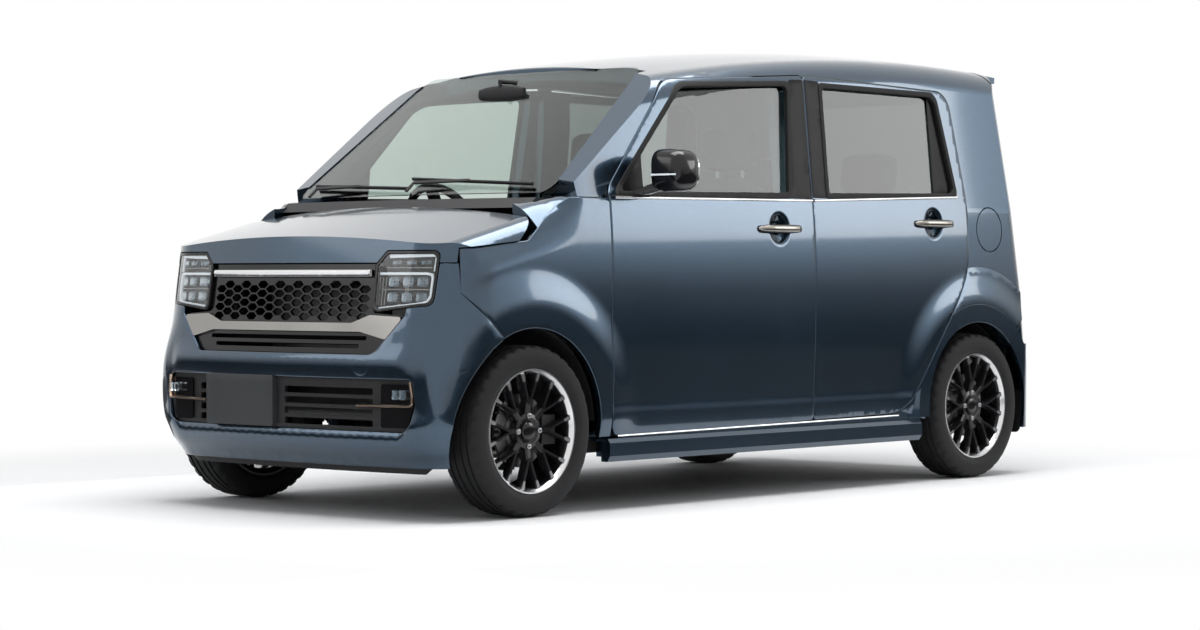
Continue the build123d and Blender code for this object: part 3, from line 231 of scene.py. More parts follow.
grain, inner, outer = group("moulded_grain", [("Colour", "NodeSocketColor", (0.02, 0.02, 0.02, 1)),
                                             ("Light", "NodeSocketColor", (0.04, 0.04, 0.04, 1)),
                                             ("Scale", "NodeSocketFloat", 700.0), ("Gloss", "NodeSocketFloat", 0.4),
                                             ("Depth", "NodeSocketFloat", 0.2)],
                            [("Colour", "NodeSocketColor"), ("Roughness", "NodeSocketFloat"),
                             ("Normal", "NodeSocketVector")])
coords = add_node(grain, "ShaderNodeTexCoord")
pores = add_node(grain, "ShaderNodeTexNoise", Detail=3.0)
patch = add_node(grain, "ShaderNodeTexNoise", Scale=5.0, Detail=3.0)
spread = add_node(grain, "ShaderNodeMath", operation="MULTIPLY_ADD")
spread.inputs[1].default_value = 0.12
bump = add_node(grain, "ShaderNodeBump", Distance=0.0004)
wire(grain, (coords.outputs["Object"], pores.inputs["Vector"]), (inner.outputs["Scale"], pores.inputs["Scale"]),
     (coords.outputs["Object"], patch.inputs["Vector"]), (patch.outputs["Fac"], spread.inputs[0]),
     (inner.outputs["Gloss"], spread.inputs[2]), (spread.outputs[0], outer.inputs["Roughness"]),
     (mixed(grain, inner.outputs["Colour"], inner.outputs["Light"], patch.outputs["Fac"]), outer.inputs["Colour"]),
     (inner.outputs["Depth"], bump.inputs["Strength"]), (pores.outputs["Fac"], bump.inputs["Height"]),
     (bump.outputs[0], outer.inputs["Normal"]))


def moulded(name, colour, light, scale, gloss, depth, metallic=0.0, coat=0.0, shine=0.5):
    """A grained solid colour: moulding, rubber, plating or cast metal."""
    values = {"Colour": (*colour, 1), "Light": (*light, 1), "Scale": scale, "Gloss": gloss, "Depth": depth}
    return grouped(name, grain, values, Metallic=metallic, Coat_Weight=coat, Coat_Roughness=0.04,
                   Specular_IOR_Level=shine)


paint = grouped("slate_metallic_paint", flake, {"Colour": (0.026, 0.055, 0.090, 1), "Glint": (0.10, 0.15, 0.20, 1)},
                Metallic=0.92, Coat_Weight=1.0, Coat_Roughness=0.06)
under_black = moulded("underbody_coat", (0.012, 0.012, 0.012), (0.022, 0.022, 0.022), 160.0, 0.7, 0.5, shine=0.2)
for node in nodes.values():
    wear(node, under_black)
for name in ("body_side_left", "body_side_right", "roof_panel", "bonnet", "front_bumper", "rear_bumper", "tailgate",
             "fuel_lid", "side_skirts", "front_fenders"):
    wear(nodes[name], paint)

# Body sides: pressed steel panels, painted together. One outer skin runs from the nose to the tail, and the doors,
# front wings and rear quarters are cut from it along the shut lines, 6 mm apart.
HALF_W, BELT_HALF, BELT_Z, WAIST_Z = 0.7235, 0.7085, 1.050, 0.740
LOW_BARREL, HIGH_BARREL, LEAN = 16.0, 6.4, 0.0973
RAIL_R, RAIL_LOW = 0.110, 1.5095
ROOF_TOP_X, ROOF_BARREL = -0.9995, 18.88
FRONT_AXLE_X, REAR_AXLE_X, AXLE_Z = 1.2375, -1.2825, 0.281
FRONT_ARCH, REAR_ARCH, FLARE = 0.335, 0.328, 0.0125
NOSE_X, CORNER_IN, CORNER_R, CORNER_OUT, CORNER_BACK = 1.6975, 0.5245, 0.2, 0.7245, 0.2294
SHUT = 0.003
EDGE_ROLL = (30, 60, 90)


def ease(t):
    t = min(max(t, 0.0), 1.0)
    return t * t * (3 - 2 * t)


def roof_drop(x):
    """How far the roof line has fallen from its highest point."""
    return (x - ROOF_TOP_X) ** 2 / ROOF_BARREL


def nose_x(z):
    """Where the front face stands on the centre line at height z."""
    return NOSE_X - 0.046 * max(0.30 - z, 0) / 0.15 - 0.106 * max(z - 0.48, 0) / 0.72


def half_at(z):
    """Half width of the body below the belt line."""
    return HALF_W - (z - WAIST_Z) ** 2 / (LOW_BARREL if z < WAIST_Z else HIGH_BARREL)


def flare(r, arch, z):
    """The swell round a wheel arch, at r from the axle."""
    return FLARE * ease((arch + 0.20 - r) / 0.13) * ease((z - 0.20) / 0.12)


def side_y(x, z):
    """Half width of the body at a point of its side."""
    if z < BELT_Z:
        y = half_at(z)
    else:
        fall = roof_drop(x)
        y = BELT_HALF - LEAN * (z - BELT_Z) - LEAN * fall * ease((z - BELT_Z) / 0.05)
        over = z - (RAIL_LOW - fall)
        if over > 0:
            up = min(over + RAIL_R * 0.097, RAIL_R * 0.985)
            y -= RAIL_R * 0.9953 - sqrt(RAIL_R ** 2 - up ** 2) - LEAN * over
    corner = x - (nose_x(z) - CORNER_BACK)
    if corner > 0:
        y *= (CORNER_IN + sqrt(max(CORNER_R ** 2 - corner ** 2, 0.0))) / CORNER_OUT
    for x_axle, arch in ((FRONT_AXLE_X, FRONT_ARCH), (REAR_AXLE_X, REAR_ARCH)):
        y += flare(hypot(x - x_axle, z - AXLE_Z), arch, z)
    return y


def left_side(x, z):
    return Vector((x, side_y(x, z), z))


def rounded(corners, grow=0.0, step=0.014):
    """Points round a closed outline of (u, v, radius) corners, moved out by grow."""
    area = sum(a[0] * b[1] - b[0] * a[1] for a, b in zip(corners, corners[1:] + corners[:1]))
    turn = 1 if area > 0 else -1
    count = len(corners)
    moved = []
    for i in range(count):
        before, here, after = (Vector(corners[(i + k) % count][:2]) for k in (-1, 0, 1))
        a, b = (here - before).normalized(), (after - here).normalized()
        way = Vector((a.y, -a.x)) * turn + Vector((b.y, -b.x)) * turn
        moved.append((here + way * (2 * grow / way.length_squared), corners[i][2]))
    points = []
    for i in range(count):
        (before, _), (here, r), (after, _) = (moved[(i + k) % count] for k in (-1, 0, 1))
        a, b = (before - here).normalized(), (after - here).normalized()
        half = acos(max(-1, min(1, a.dot(b)))) / 2
        if r <= 0 or half > 1.55:
            points.append(here)
            continue
        slope = sin(half) / cos(half)
        reach = min(r / max(slope, 1e-4), 0.48 * (before - here).length, 0.48 * (after - here).length)
        centre = here + (a + b).normalized() * (reach * slope / sin(half))
        start, end = here + a * reach - centre, here + b * reach - centre
        angle = start.angle_signed(end)
        bits = max(3, int(abs(angle) * 180 / pi / 9))
        for k in range(bits + 1):
            c, s = cos(-angle * k / bits), sin(-angle * k / bits)
            points.append(centre + Vector((start.x * c - start.y * s, start.x * s + start.y * c)))
    full = []
    for p, q in zip(points, points[1:] + points[:1]):
        bits = max(1, ceil((q - p).length / step))
        full += [p.lerp(q, k / bits) for k in range(bits) if (q - p).length > 1e-6]
    return full if turn > 0 else full[::-1]


def rect(u0, v0, u1, v1, r):
    return rounded([(u0, v0, r), (u1, v0, r), (u1, v1, r), (u0, v1, r)])


def arc(x, z, r, start, end, bits=28):
    return [(x + r * cos(radians(start + (end - start) * k / bits)),
             z + r * sin(radians(start + (end - start) * k / bits)), 0) for k in range(bits + 1)]


def within(p, loop):
    hit = False
    for a, b in zip(loop, loop[1:] + loop[:1]):
        if (a.y > p.y) != (b.y > p.y) and p.x < (b.x - a.x) * (p.y - a.y) / (b.y - a.y) + a.x:
            hit = not hit
    return hit


def panel(name, surface, outline, holes=(), thick=0.012, roll=0.003, grid=0.03, lift=0.0, closed=True, out=1,
          dish=None):
    """A plate on a surface of two parameters: outline cut, edges rolled over, back closed if asked, and finer rings
    of points over a dish at (u, v, radius)."""
    loops = [outline] + [h[::-1] for h in holes]
    flat, links, cell = [], [], {}
    for loop in loops:
        base = len(flat)
        flat += loop
        links += [(base + i, base + (i + 1) % len(loop)) for i in range(len(loop))]
    for p in flat:
        cell.setdefault((int(p.x // grid), int(p.y // grid)), []).append(p)
    us, vs = [p.x for p in outline], [p.y for p in outline]
    for i in range(int((max(us) - min(us)) / grid) + 1):
        for j in range(int((max(vs) - min(vs)) / grid) + 1):
            p = Vector((min(us) + (i + 0.5) * grid, min(vs) + (j + 0.5 + 0.25 * (i % 2)) * grid))
            u, v = int(p.x // grid), int(p.y // grid)
            near = [q for a in (-1, 0, 1) for b in (-1, 0, 1) for q in cell.get((u + a, v + b), ())]
            if any((p - q).length < 0.55 * grid for q in near) or not within(p, outline):
                continue
            if dish and hypot(p.x - dish[0], p.y - dish[1]) < 1.2 * dish[2]:
                continue
            if not any(within(p, h) for h in holes):
                flat.append(p)
    if dish:
        u, v, r = dish
        flat += [Vector((u + r * k / 12 * cos(pi * i / 24), v + r * k / 12 * sin(pi * i / 24)))
                 for k in range(1, 14) for i in range(48)]
    spots, _, tris, origin, _, _ = geometry.delaunay_2d_cdt(flat, links, [], 0, 1e-6)
    spot_of = {s: k for k, sources in enumerate(origin) for s in sources}
    keep = []
    for t in tris:
        mid = (spots[t[0]] + spots[t[1]] + spots[t[2]]) / 3
        if within(mid, outline) and not any(within(mid, h) for h in holes):
            keep.append(tuple(t))
    e = 0.002
    points, normals, frames = [], [], []
    for p in spots:
        du = (surface(p.x + e, p.y) - surface(p.x - e, p.y)) / (2 * e)
        dv = (surface(p.x, p.y + e) - surface(p.x, p.y - e)) / (2 * e)
        n = du.cross(dv).normalized() * out
        points.append(surface(p.x, p.y) + n * lift)
        normals.append(n)
        frames.append((du, dv))
    verts, faces, back = list(points), list(keep), []
    base = 0
    for loop in loops:
        size = len(loop)
        ring = last = [spot_of[base + i] for i in range(size)]
        ways = []
        for i, k in enumerate(ring):
            a, b = spots[ring[i - 1]], spots[ring[(i + 1) % size]]
            way = frames[k][0] * (b.y - a.y) - frames[k][1] * (b.x - a.x)
            way -= normals[k] * way.dot(normals[k])
            ways.append(way.normalized() if way.length > 1e-9 else way)
        drops = [(roll * sin(radians(a)), roll * (1 - cos(radians(a)))) for a in EDGE_ROLL] + [(roll, thick)]
        for over, drop in drops:
            here = len(verts)
            verts += [points[k] + way * over - normals[k] * drop for k, way in zip(ring, ways)]
            faces += [(last[(i + 1) % size], last[i], here + i, here + (i + 1) % size) for i in range(size)]
            last = [here + i for i in range(size)]
        back.append((ring, last))
        base += size
    trim_from = len(faces)
    if closed:
        here = len(verts)
        verts += [p - n * thick for p, n in zip(points, normals)]
        faces += [(here + c, here + b, here + a) for a, b, c in keep]
        for ring, last in back:
            ends = zip(ring, last, ring[1:] + ring[:1], last[1:] + last[:1])
            faces += [(q_edge, p_edge, here + p, here + q) for p, p_edge, q, q_edge in ends]
    if out < 0:
        faces = [f[::-1] for f in faces]
    mesh = bpy.data.meshes.new(name)
    mesh.from_pydata(verts, [], faces)
    for k, poly in enumerate(mesh.polygons):
        poly.use_smooth = True
        poly.material_index = 1 if k >= trim_from else 0
    mesh.set_sharp_from_angle(angle=radians(50))
    return place(name, mesh)


def put(piece, body, slot, *mats, replaces=()):
    """Finishes a piece: what it is made of, the body that it rides on and the CAD nodes that it stands for."""
    for mat in mats:
        piece.data.materials.append(mat)
    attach(piece, body)
    for node in replaces:
        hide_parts(node)


def dress(piece, body, slot, *mats, replaces=()):
    """Finishes a left-hand piece, and its twin on the car's right."""
    name = piece.name.replace("left", "right")
    mesh = piece.data.copy()
    mesh.name = name
    mesh.transform(Matrix.Scale(-1, 4, (0, 1, 0)))
    mesh.flip_normals()
    twin = place(name, mesh)
    put(piece, body, slot, *mats, replaces=replaces)
    put(twin, body.replace("left", "right"), slot, *mats, replaces=[n.replace("left", "right") for n in replaces])


# Doors: pressed outer skins hemmed over steel frames, each hung on two pins, with a dish pressed in behind the pull and
# a rubber seal standing in the shut line, whose black is also painted shade that darkens the gap.
SHUT_LINES = {
    "front": [(0.8475, 0.246, 0.04), (0.8475, 1.065, 0.02), (0.4975, 1.467, 0.14), (-0.2645, 1.516, 0.02),
              (-0.2645, 0.262, 0.015)],
    "rear": [(-0.2645, 0.262, 0.015), (-0.2645, 1.516, 0.02), (-1.1645, 1.495, 0.09), (-1.2395, 1.080, 0.06),
             (-1.2395, 0.810, 0.25), (-0.8245, 0.270, 0.18)]}
WINDOWS = {
    "front": [(0.7995, 1.062, 0.008), (0.4235, 1.451, 0.09), (-0.1745, 1.482, 0.025), (-0.1365, 1.076, 0.012)],
    "rear": [(-0.3615, 1.484, 0.020), (-0.3595, 1.080, 0.012), (-1.1715, 1.096, 0.025), (-1.0775, 1.481, 0.055)]}
HANDLES = {"front": (-0.0605, 0.955), "rear": (-1.0125, 0.986)}
DISH_R, DISH_DEEP = 0.062, 0.024
ARCH_GAP, SEAL_AND_SHADE_GAP = 0.006, 0.0002
# Black rubber; in the door shut lines it is also painted shade, and on the spoiler joint painted shadow of the gap.
rubber_and_gap_shade = moulded("rubber_and_gap_shade", (0.010, 0.010, 0.010), (0.018, 0.018, 0.018), 500.0, 0.55, 0.15, shine=0.25)
trim_black = moulded("black_trim", (0.016, 0.016, 0.017), (0.028, 0.028, 0.03), 420.0, 0.5, 0.35, shine=0.3)


def door_side(door):
    hx, hz = HANDLES[door]

    def surface(x, z):
        y = side_y(x, z)
        y -= DISH_DEEP * ease((1 - hypot(x - hx, z - hz) / DISH_R) / 0.7)
        y += 0.004 * ease((0.36 - z) / 0.05) * ease((z - 0.23) / 0.05)
        return Vector((x, y, z))
    return surface


rear_hub = Vector((REAR_AXLE_X, AXLE_Z))
for door in ("front", "rear"):
    cut = rounded(SHUT_LINES[door], -SHUT)
    if door == "rear":
        clear_r = REAR_ARCH + ARCH_GAP
        cut = [p if hypot(p.x - REAR_AXLE_X, p.y - AXLE_Z) > clear_r else
               rear_hub + (p - rear_hub).normalized() * clear_r for p in cut]
    # Behind each shut line a black strip, partly the rubber seal and partly painted shade that darkens the gap.
    seal = panel(f"{door}_shut_seal_left", left_side, rounded(SHUT_LINES[door], SHUT - SEAL_AND_SHADE_GAP),
                 [rounded(SHUT_LINES[door], -SHUT + SEAL_AND_SHADE_GAP)], thick=0.002, roll=0.0, lift=-0.011, closed=False,
                 out=-1)
    dress(seal, "shell", "black_plastic", rubber_and_gap_shade)
    skin = panel(f"{door}_door_left_skin", door_side(door), cut, [rounded(WINDOWS[door])], thick=0.055, grid=0.013,
                 lift=0.0006, out=-1, dish=(*HANDLES[door], DISH_R))
    dress(skin, f"{door}_door_left", "body_paint", paint, trim_black, replaces=(f"{door}_door_left",))

# Front wings: thin pressings bolted along the top rail, cut round the wheel and under the bonnet's edge. Their shoulder
# rolls inwards to the bonnet and dies out at the foot of the screen pillar.
WING = [(0.8475, 0.246, 0), (0.9043, 0.246, 0)]
WING += arc(FRONT_AXLE_X, AXLE_Z, FRONT_ARCH, 186, 64.3)[1:]
WING += [(1.5395, 0.732, 0), (1.5325, 0.873, 0), (1.2415, 0.902, 0.04), (1.1445, 0.983, 0.03), (1.0375, 1.047, 0),
         (0.8475, 1.047, 0)]
SHOULDER_Y, SHOULDER_R2 = 0.6285, 0.0064


def fender_side(x, z):
    y = side_y(x, z)
    shoulder = 0.805 + (1.6005 - x) * 0.25
    top = SHOULDER_Y + sqrt(max(SHOULDER_R2 - max(z - shoulder, 0.0) ** 2, 0.0))
    share = ease((z - shoulder + 0.05) / 0.07) * ease((x - 0.98) / 0.27)
    return Vector((x, y + (min(top, y) - y) * share, z))


wing = panel("front_fender_left_skin", fender_side, rounded(WING, -SHUT), thick=0.02, lift=0.0006, grid=0.012, out=-1,
             closed=False)
dress(wing, "shell", "body_paint", paint, replaces=("front_fenders",))

# Swells round the rear wheel arches: the same painted skin as the quarter, rolled in at the lip, lying on the
# panel that carries it.
SWELL_W, SWELL_BACK, SWELL_END = 0.21, 0.31, 133
door_edge = [p for p in rounded(SHUT_LINES["rear"], SHUT)
             if p.x < -0.80 and hypot(p.x - REAR_AXLE_X, p.y - AXLE_Z) < REAR_ARCH + SWELL_W][::-1]
top = door_edge[-1]
quarter = [(p.x, p.y, 0) for p in door_edge]
first = atan2(top.y - AXLE_Z, top.x - REAR_AXLE_X) * 180 / pi
for k in range(1, 25):
    a = radians(first + (SWELL_END - first) * k / 24)
    r = min(REAR_ARCH + SWELL_W, SWELL_BACK / max(-cos(a), 0.01))
    quarter.append((REAR_AXLE_X + r * cos(a), AXLE_Z + r * sin(a), 0))
quarter += arc(REAR_AXLE_X, AXLE_Z, REAR_ARCH - 0.001, SWELL_END, -7, 60)
swell = panel("rear_arch_swell_left", left_side, rounded(quarter), thick=0.02, roll=0.002, grid=0.02, lift=0.0008,
              out=-1, closed=False)
dress(swell, "shell", "body_paint", paint)

# Window frames: gloss black tape and moulded covers on the door posts, a rubber lip round each pane and a bright
# roll-formed strip along the belt, clipped to the door under the glass.
BELT = {"front": (0.822, -0.2585), "rear": (-0.2705, -1.176)}
STRIP_H, STRIP_OUT = 0.011, 0.006
# name, door, lift, corners
TRIMS = (("front_post_trim", "front", 0.0012, [(-0.1365, 1.066, 0.006), (-0.1745, 1.496, 0.02), (-0.2600, 1.500, 0.008),
                                               (-0.2600, 1.066, 0.004)]),
         ("rear_post_trim", "rear", 0.0012, [(-0.2690, 1.070, 0.004), (-0.2690, 1.500, 0.008), (-0.3615, 1.498, 0.02),
                                             (-0.3595, 1.070, 0.006)]),
         ("rear_window_end", "rear", -0.012, [(-1.0420, 1.100, 0.01), (-1.0420, 1.480, 0.02), (-1.0900, 1.478, 0.04),
                                              (-1.1760, 1.100, 0.01)]),
         ("sail_trim", "front", -0.012, [(0.6420, 1.066, 0.004), (0.6420, 1.252, 0.01), (0.8000, 1.066, 0.01)]))
tape_black = moulded("tape_black", (0.006, 0.006, 0.007), (0.010, 0.010, 0.011), 300.0, 0.30, 0.04, shine=0.12)
bright_metal = moulded("bright_metal", (0.72, 0.73, 0.74), (0.80, 0.80, 0.81), 260.0, 0.10, 0.03, metallic=1.0)


def belt_z(x):
    return 1.050 + 0.010 * (0.82 - x) / 1.09 if x > -0.2645 else 1.060 + 0.030 * (-0.2645 - x) / 0.91


def strip(name, path, width, out):
    """A bowed strip along the body side: path gives (x, z), width is its height."""
    verts = []
    for x, z in path:
        for k in range(7):
            t = -1 + k / 3
            zz = z + width / 2 * t
            verts.append((x, side_y(x, zz) + out * sqrt(max(1 - t * t, 0)) + 0.0008, zz))
    starts = [i * 7 + k for i in range(len(path) - 1) for k in range(6)]
    mesh = bpy.data.meshes.new(name)
    mesh.from_pydata(verts, [], [(a, a + 1, a + 8, a + 7) for a in starts])
    mesh.shade_smooth()
    return place(name, mesh)


for name, door, lift, corners in TRIMS:
    trim = panel(f"{name}_left", left_side, rounded(corners), thick=0.003, roll=0.001, lift=lift, closed=False, out=-1)
    dress(trim, f"{door}_door_left", "gloss_black", tape_black)
for door, (x0, x1) in BELT.items():
    lip = panel(f"{door}_window_seal_left", left_side, rounded(WINDOWS[door], 0.009), [rounded(WINDOWS[door], -0.007)],
                thick=0.014, roll=0.002, lift=0.0036, closed=False, out=-1)
    dress(lip, f"{door}_door_left", "black_plastic", rubber_and_gap_shade)
    path = [(x, belt_z(x)) for x in (x0 + (x1 - x0) * k / 50 for k in range(51))]
    dress(strip(f"{door}_belt_strip_left", path, STRIP_H, STRIP_OUT), f"{door}_door_left", "satin_chrome", bright_metal)


# Glass: a laminated windscreen bonded to its frame, and tempered panes held in the doors and the tailgate. It is
# lightly green in front and dark behind.
def glazing(name, tint):
    return material(name, Base_Color=(*tint, 1), Roughness=0.0, Transmission_Weight=1.0, IOR=1.45)[0]


tinted_glass = glazing("green_glass", (0.62, 0.70, 0.66))
dark_glass = glazing("privacy_glass", (0.16, 0.19, 0.18))
for name in ("windscreen", "front_door_glass_left", "front_door_glass_right"):
    wear(nodes[name], tinted_glass)
for name in ("rear_door_glass_left", "rear_door_glass_right", "tailgate_glass"):
    wear(nodes[name], dark_glass)

# Door handles: a moulded pull bar across the dish, gloss black at its ends, with a pewter-coloured plated cap snapped
# over its face.
BAR_L, BAR_H, BAR_OUT, BAR_THICK = 0.245, 0.030, 0.034, 0.010
gloss_black = moulded("piano_black", (0.006, 0.006, 0.007), (0.009, 0.009, 0.010), 300.0, 0.08, 0.02, shine=0.45)
pewter = moulded("pewter_plate", (0.34, 0.32, 0.29), (0.44, 0.42, 0.38), 300.0, 0.22, 0.05, metallic=1.0)


def settle(mesh, bm, sharp=None):
    """Puts bm in a mesh with its faces turned outwards, smooth but for edges past the sharp angle in degrees."""
    bmesh.ops.recalc_face_normals(bm, faces=bm.faces)
    bm.to_mesh(mesh)
    bm.free()
    if sharp:
        mesh.shade_smooth()
        mesh.set_sharp_from_angle(angle=radians(sharp))
    return mesh


def mesh_of(name, verts, faces, sharp):
    mesh = bpy.data.meshes.new(name)
    mesh.from_pydata(verts, [], faces)
    bm = bmesh.new()
    bm.from_mesh(mesh)
    return settle(mesh, bm, sharp)


def sweep(name, sections):
    """Skin through a list of closed rings of points."""
    n, last = len(sections[0]), len(sections) - 1
    faces = [(i * n + k, i * n + (k + 1) % n, (i + 1) * n + (k + 1) % n, (i + 1) * n + k)
             for i in range(last) for k in range(n)]
    faces += [tuple(range(n))[::-1], tuple(last * n + k for k in range(n))]
    return place(name, mesh_of(name, [tuple(p) for ring in sections for p in ring], faces, 40))


def bent(value, power):
    return abs(value) ** power * (1 if value > 0 else -1)


def oval(y_size, z_size, bits=16, power=2.6):
    return [(bent(cos(2 * pi * k / bits), 2 / power) * y_size, bent(sin(2 * pi * k / bits), 2 / power) * z_size)
            for k in range(bits)]


for door, (hx, hz) in HANDLES.items():
    y0 = side_y(hx, hz) - 0.012
    for part, t_from, mat, slot, grow in (("bar", -0.50, gloss_black, "gloss_black", 0.0),
                                          ("cap", -0.34, pewter, "satin_chrome", 0.0012)):
        rings = []
        for k in range(25):
            t = t_from + (0.50 - t_from) * k / 24
            end = min(1.0, sqrt(max(1 - (abs(t) / 0.505) ** 8, 0.0)))
            bow = BAR_OUT * (1 - (2 * t) ** 4 * 0.62)
            size = oval((BAR_THICK + grow) * end, (BAR_H / 2 * (1 - 0.12 * (2 * t) ** 2) + grow) * end)
            if part == "cap":
                size = [(a if a > 0 else a * 0.2, b * 0.8) for a, b in size]
            rings.append([Vector((hx + t * BAR_L, y0 + bow + a, hz + b)) for a, b in size])
        dress(sweep(f"{door}_handle_{part}_left", rings), f"{door}_door_left", slot, mat)

# Wheels: one-piece cast alloy, gloss black, eight spokes that fork to sixteen tips. The rim edge and the tips are
# machined bright afterwards; four nuts and a plain cap hold the middle. A tubeless tyre is pressed on.
WHEELS = {"front_left": (FRONT_AXLE_X, 1), "front_right": (FRONT_AXLE_X, -1),
          "rear_left": (REAR_AXLE_X, 1), "rear_right": (REAR_AXLE_X, -1)}
TRACK_Y, SPOKES, NUTS = 0.650, 8, 4
# profiles of (distance along the axle, radius)
RIM_PROFILE = [(-0.072, 0.204), (-0.066, 0.2045), (-0.064, 0.196), (-0.058, 0.186), (-0.030, 0.184), (0.046, 0.188),
               (0.058, 0.1895), (0.064, 0.196), (0.066, 0.2045), (0.0705, 0.2055), (0.0735, 0.2035), (0.0735, 0.1985),
               (0.0660, 0.1925), (0.0600, 0.1880), (0.040, 0.181), (-0.020, 0.176), (-0.060, 0.178), (-0.072, 0.196)]
BRIGHT_RIM = range(8, 13)
HUB_PROFILE = [(0.030, 0.060), (0.052, 0.058), (0.055, 0.046), (0.047, 0.034), (0.047, 0.031)]
CAP_PROFILE = [(0.044, 0.0315), (0.054, 0.0305), (0.0575, 0.0275), (0.0595, 0.020), (0.0602, 0.008)]
NUT_PROFILE = [(0.040, 0.0105), (0.058, 0.0105), (0.0605, 0.0085), (0.0615, 0.004)]
DISC_PROFILE = [(0.005, 0.120), (0.0155, 0.120), (0.0155, 0.078), (0.024, 0.074), (0.026, 0.060)]
VALVE_PROFILE = [(0.052, 0.004), (0.075, 0.0035), (0.080, 0.0045), (0.083, 0.003)]
TYRE_PROFILE = [(0.062, 0.190), (0.066, 0.2045), (0.0735, 0.2075), (0.0785, 0.2140), (0.0815, 0.2240), (0.0822, 0.2260),
                (0.0825, 0.2350), (0.0818, 0.2480), (0.0800, 0.2580), (0.0790, 0.2600), (0.0762, 0.2680),
                (0.0720, 0.2735), (0.0680, 0.2765), (0.0600, 0.2788)]
NUT_R, VALVE_R, VALVE_TURN = 0.0502, 0.172, 0.39
GROOVES, GROOVE_HALF, GROOVE_R, CUT_DEEP = (0.0440, 0.0170, -0.0170, -0.0440), 0.0042, 0.2738, 0.0055
wheel_black = moulded("wheel_black", (0.010, 0.010, 0.011), (0.016, 0.016, 0.018), 400.0, 0.16, 0.03, metallic=0.2)
cut_alloy = moulded("cut_alloy", (0.66, 0.66, 0.67), (0.76, 0.76, 0.77), 320.0, 0.16, 0.06, metallic=1.0)
nut_steel = moulded("nut_steel", (0.30, 0.30, 0.31), (0.40, 0.40, 0.41), 300.0, 0.22, 0.05, metallic=1.0)
disc_iron = moulded("disc_iron", (0.20, 0.20, 0.20), (0.34, 0.33, 0.32), 240.0, 0.30, 0.15, metallic=1.0)
tyre_rubber = moulded("tyre_rubber", (0.010, 0.010, 0.011), (0.017, 0.017, 0.018), 380.0, 0.62, 0.3, shine=0.3)


def lathe(name, profile, bits=144):
    """Turned piece about the wheel's own axis, y outwards."""
    verts = [(r * cos(2 * pi * k / bits), y, r * sin(2 * pi * k / bits)) for k in range(bits) for y, r in profile]
    n = len(profile)
    faces = [(k * n + i, k * n + (i + 1) % n, ((k + 1) % bits) * n + (i + 1) % n, ((k + 1) % bits) * n + i)
             for k in range(bits) for i in range(n)]
    return mesh_of(name, verts, faces, 32)


def turned(bm, profile, x=0.0, z=0.0, bits=40, index=0, capped=True):
    """Adds a turned piece about an axis at (x, z)."""
    rings = [[bm.verts.new((x + r * cos(2 * pi * k / bits), y, z + r * sin(2 * pi * k / bits))) for k in range(bits)]
             for y, r in profile]
    for one, two in zip(rings, rings[1:]):
        for k in range(bits):
            face = bm.faces.new((one[k], one[(k + 1) % bits], two[(k + 1) % bits], two[k]))
            face.material_index = index
    if capped:
        bm.faces.new(rings[-1]).material_index = index


def spoke_bar(bm, start, end, w0, w1, top0, top1, deep, machined=False):
    """One tapering spoke arm with a flat crown and sloped flanks, in the wheel's own plane."""
    start, end = Vector(start), Vector(end)
    along = (end - start).normalized()
    across = Vector((-along.y, along.x))
    rings = []
    for p, w, top in ((start, w0, top0), (end, w1, top1)):
        ring = []
        for off, height in ((-1.0, top - deep), (-0.92, top - 0.006), (-0.55, top), (0.55, top), (0.92, top - 0.006),
                            (1.0, top - deep)):
            q = p + across * (off * w)
            ring.append(bm.verts.new((q.x, height, q.y)))
        rings.append(ring)
    for k in range(5):
        face = bm.faces.new((rings[0][k], rings[0][k + 1], rings[1][k + 1], rings[1][k]))
        face.material_index = 1 if machined and k == 2 else 0
    for ring in rings:
        bm.faces.new(ring)


def wheel_mesh():
    bm = bmesh.new()
    bm.from_mesh(lathe("rim", RIM_PROFILE))
    for k, face in enumerate(bm.faces):
        face.material_index = 1 if k % len(RIM_PROFILE) in BRIGHT_RIM else 0
    for i in range(SPOKES):
        def ray(r, turn):
            a = 2 * pi * i / SPOKES + turn
            return r * cos(a), r * sin(a)
        spoke_bar(bm, ray(0.040, 0), ray(0.096, 0), 0.0135, 0.0115, 0.052, 0.060, 0.034)
        for turn in (-0.196, 0.196):
            spoke_bar(bm, ray(0.088, turn * 0.06), ray(0.168, turn * 0.93), 0.0068, 0.0070, 0.060, 0.064, 0.030)
            spoke_bar(bm, ray(0.164, turn * 0.91), ray(0.1925, turn * 1.02), 0.0071, 0.0135, 0.0642, 0.0655, 0.024,
                      True)
    for pair in zip(HUB_PROFILE, HUB_PROFILE[1:]):
        turned(bm, pair, bits=48, capped=False)
    return settle(bpy.data.meshes.new("wheel"), bm, 30)


def fittings_mesh():
    """Cap, nuts, brake disc and valve."""
    bm = bmesh.new()
    turned(bm, CAP_PROFILE)
    for k in range(NUTS):
        a = 2 * pi * k / NUTS
        turned(bm, NUT_PROFILE, NUT_R * cos(a), NUT_R * sin(a), 6, 1)
    turned(bm, DISC_PROFILE, bits=72, index=2)
    turned(bm, VALVE_PROFILE, VALVE_R * cos(VALVE_TURN), VALVE_R * sin(VALVE_TURN), 10, 3)
    return settle(bpy.data.meshes.new("wheel_fittings"), bm, 30)


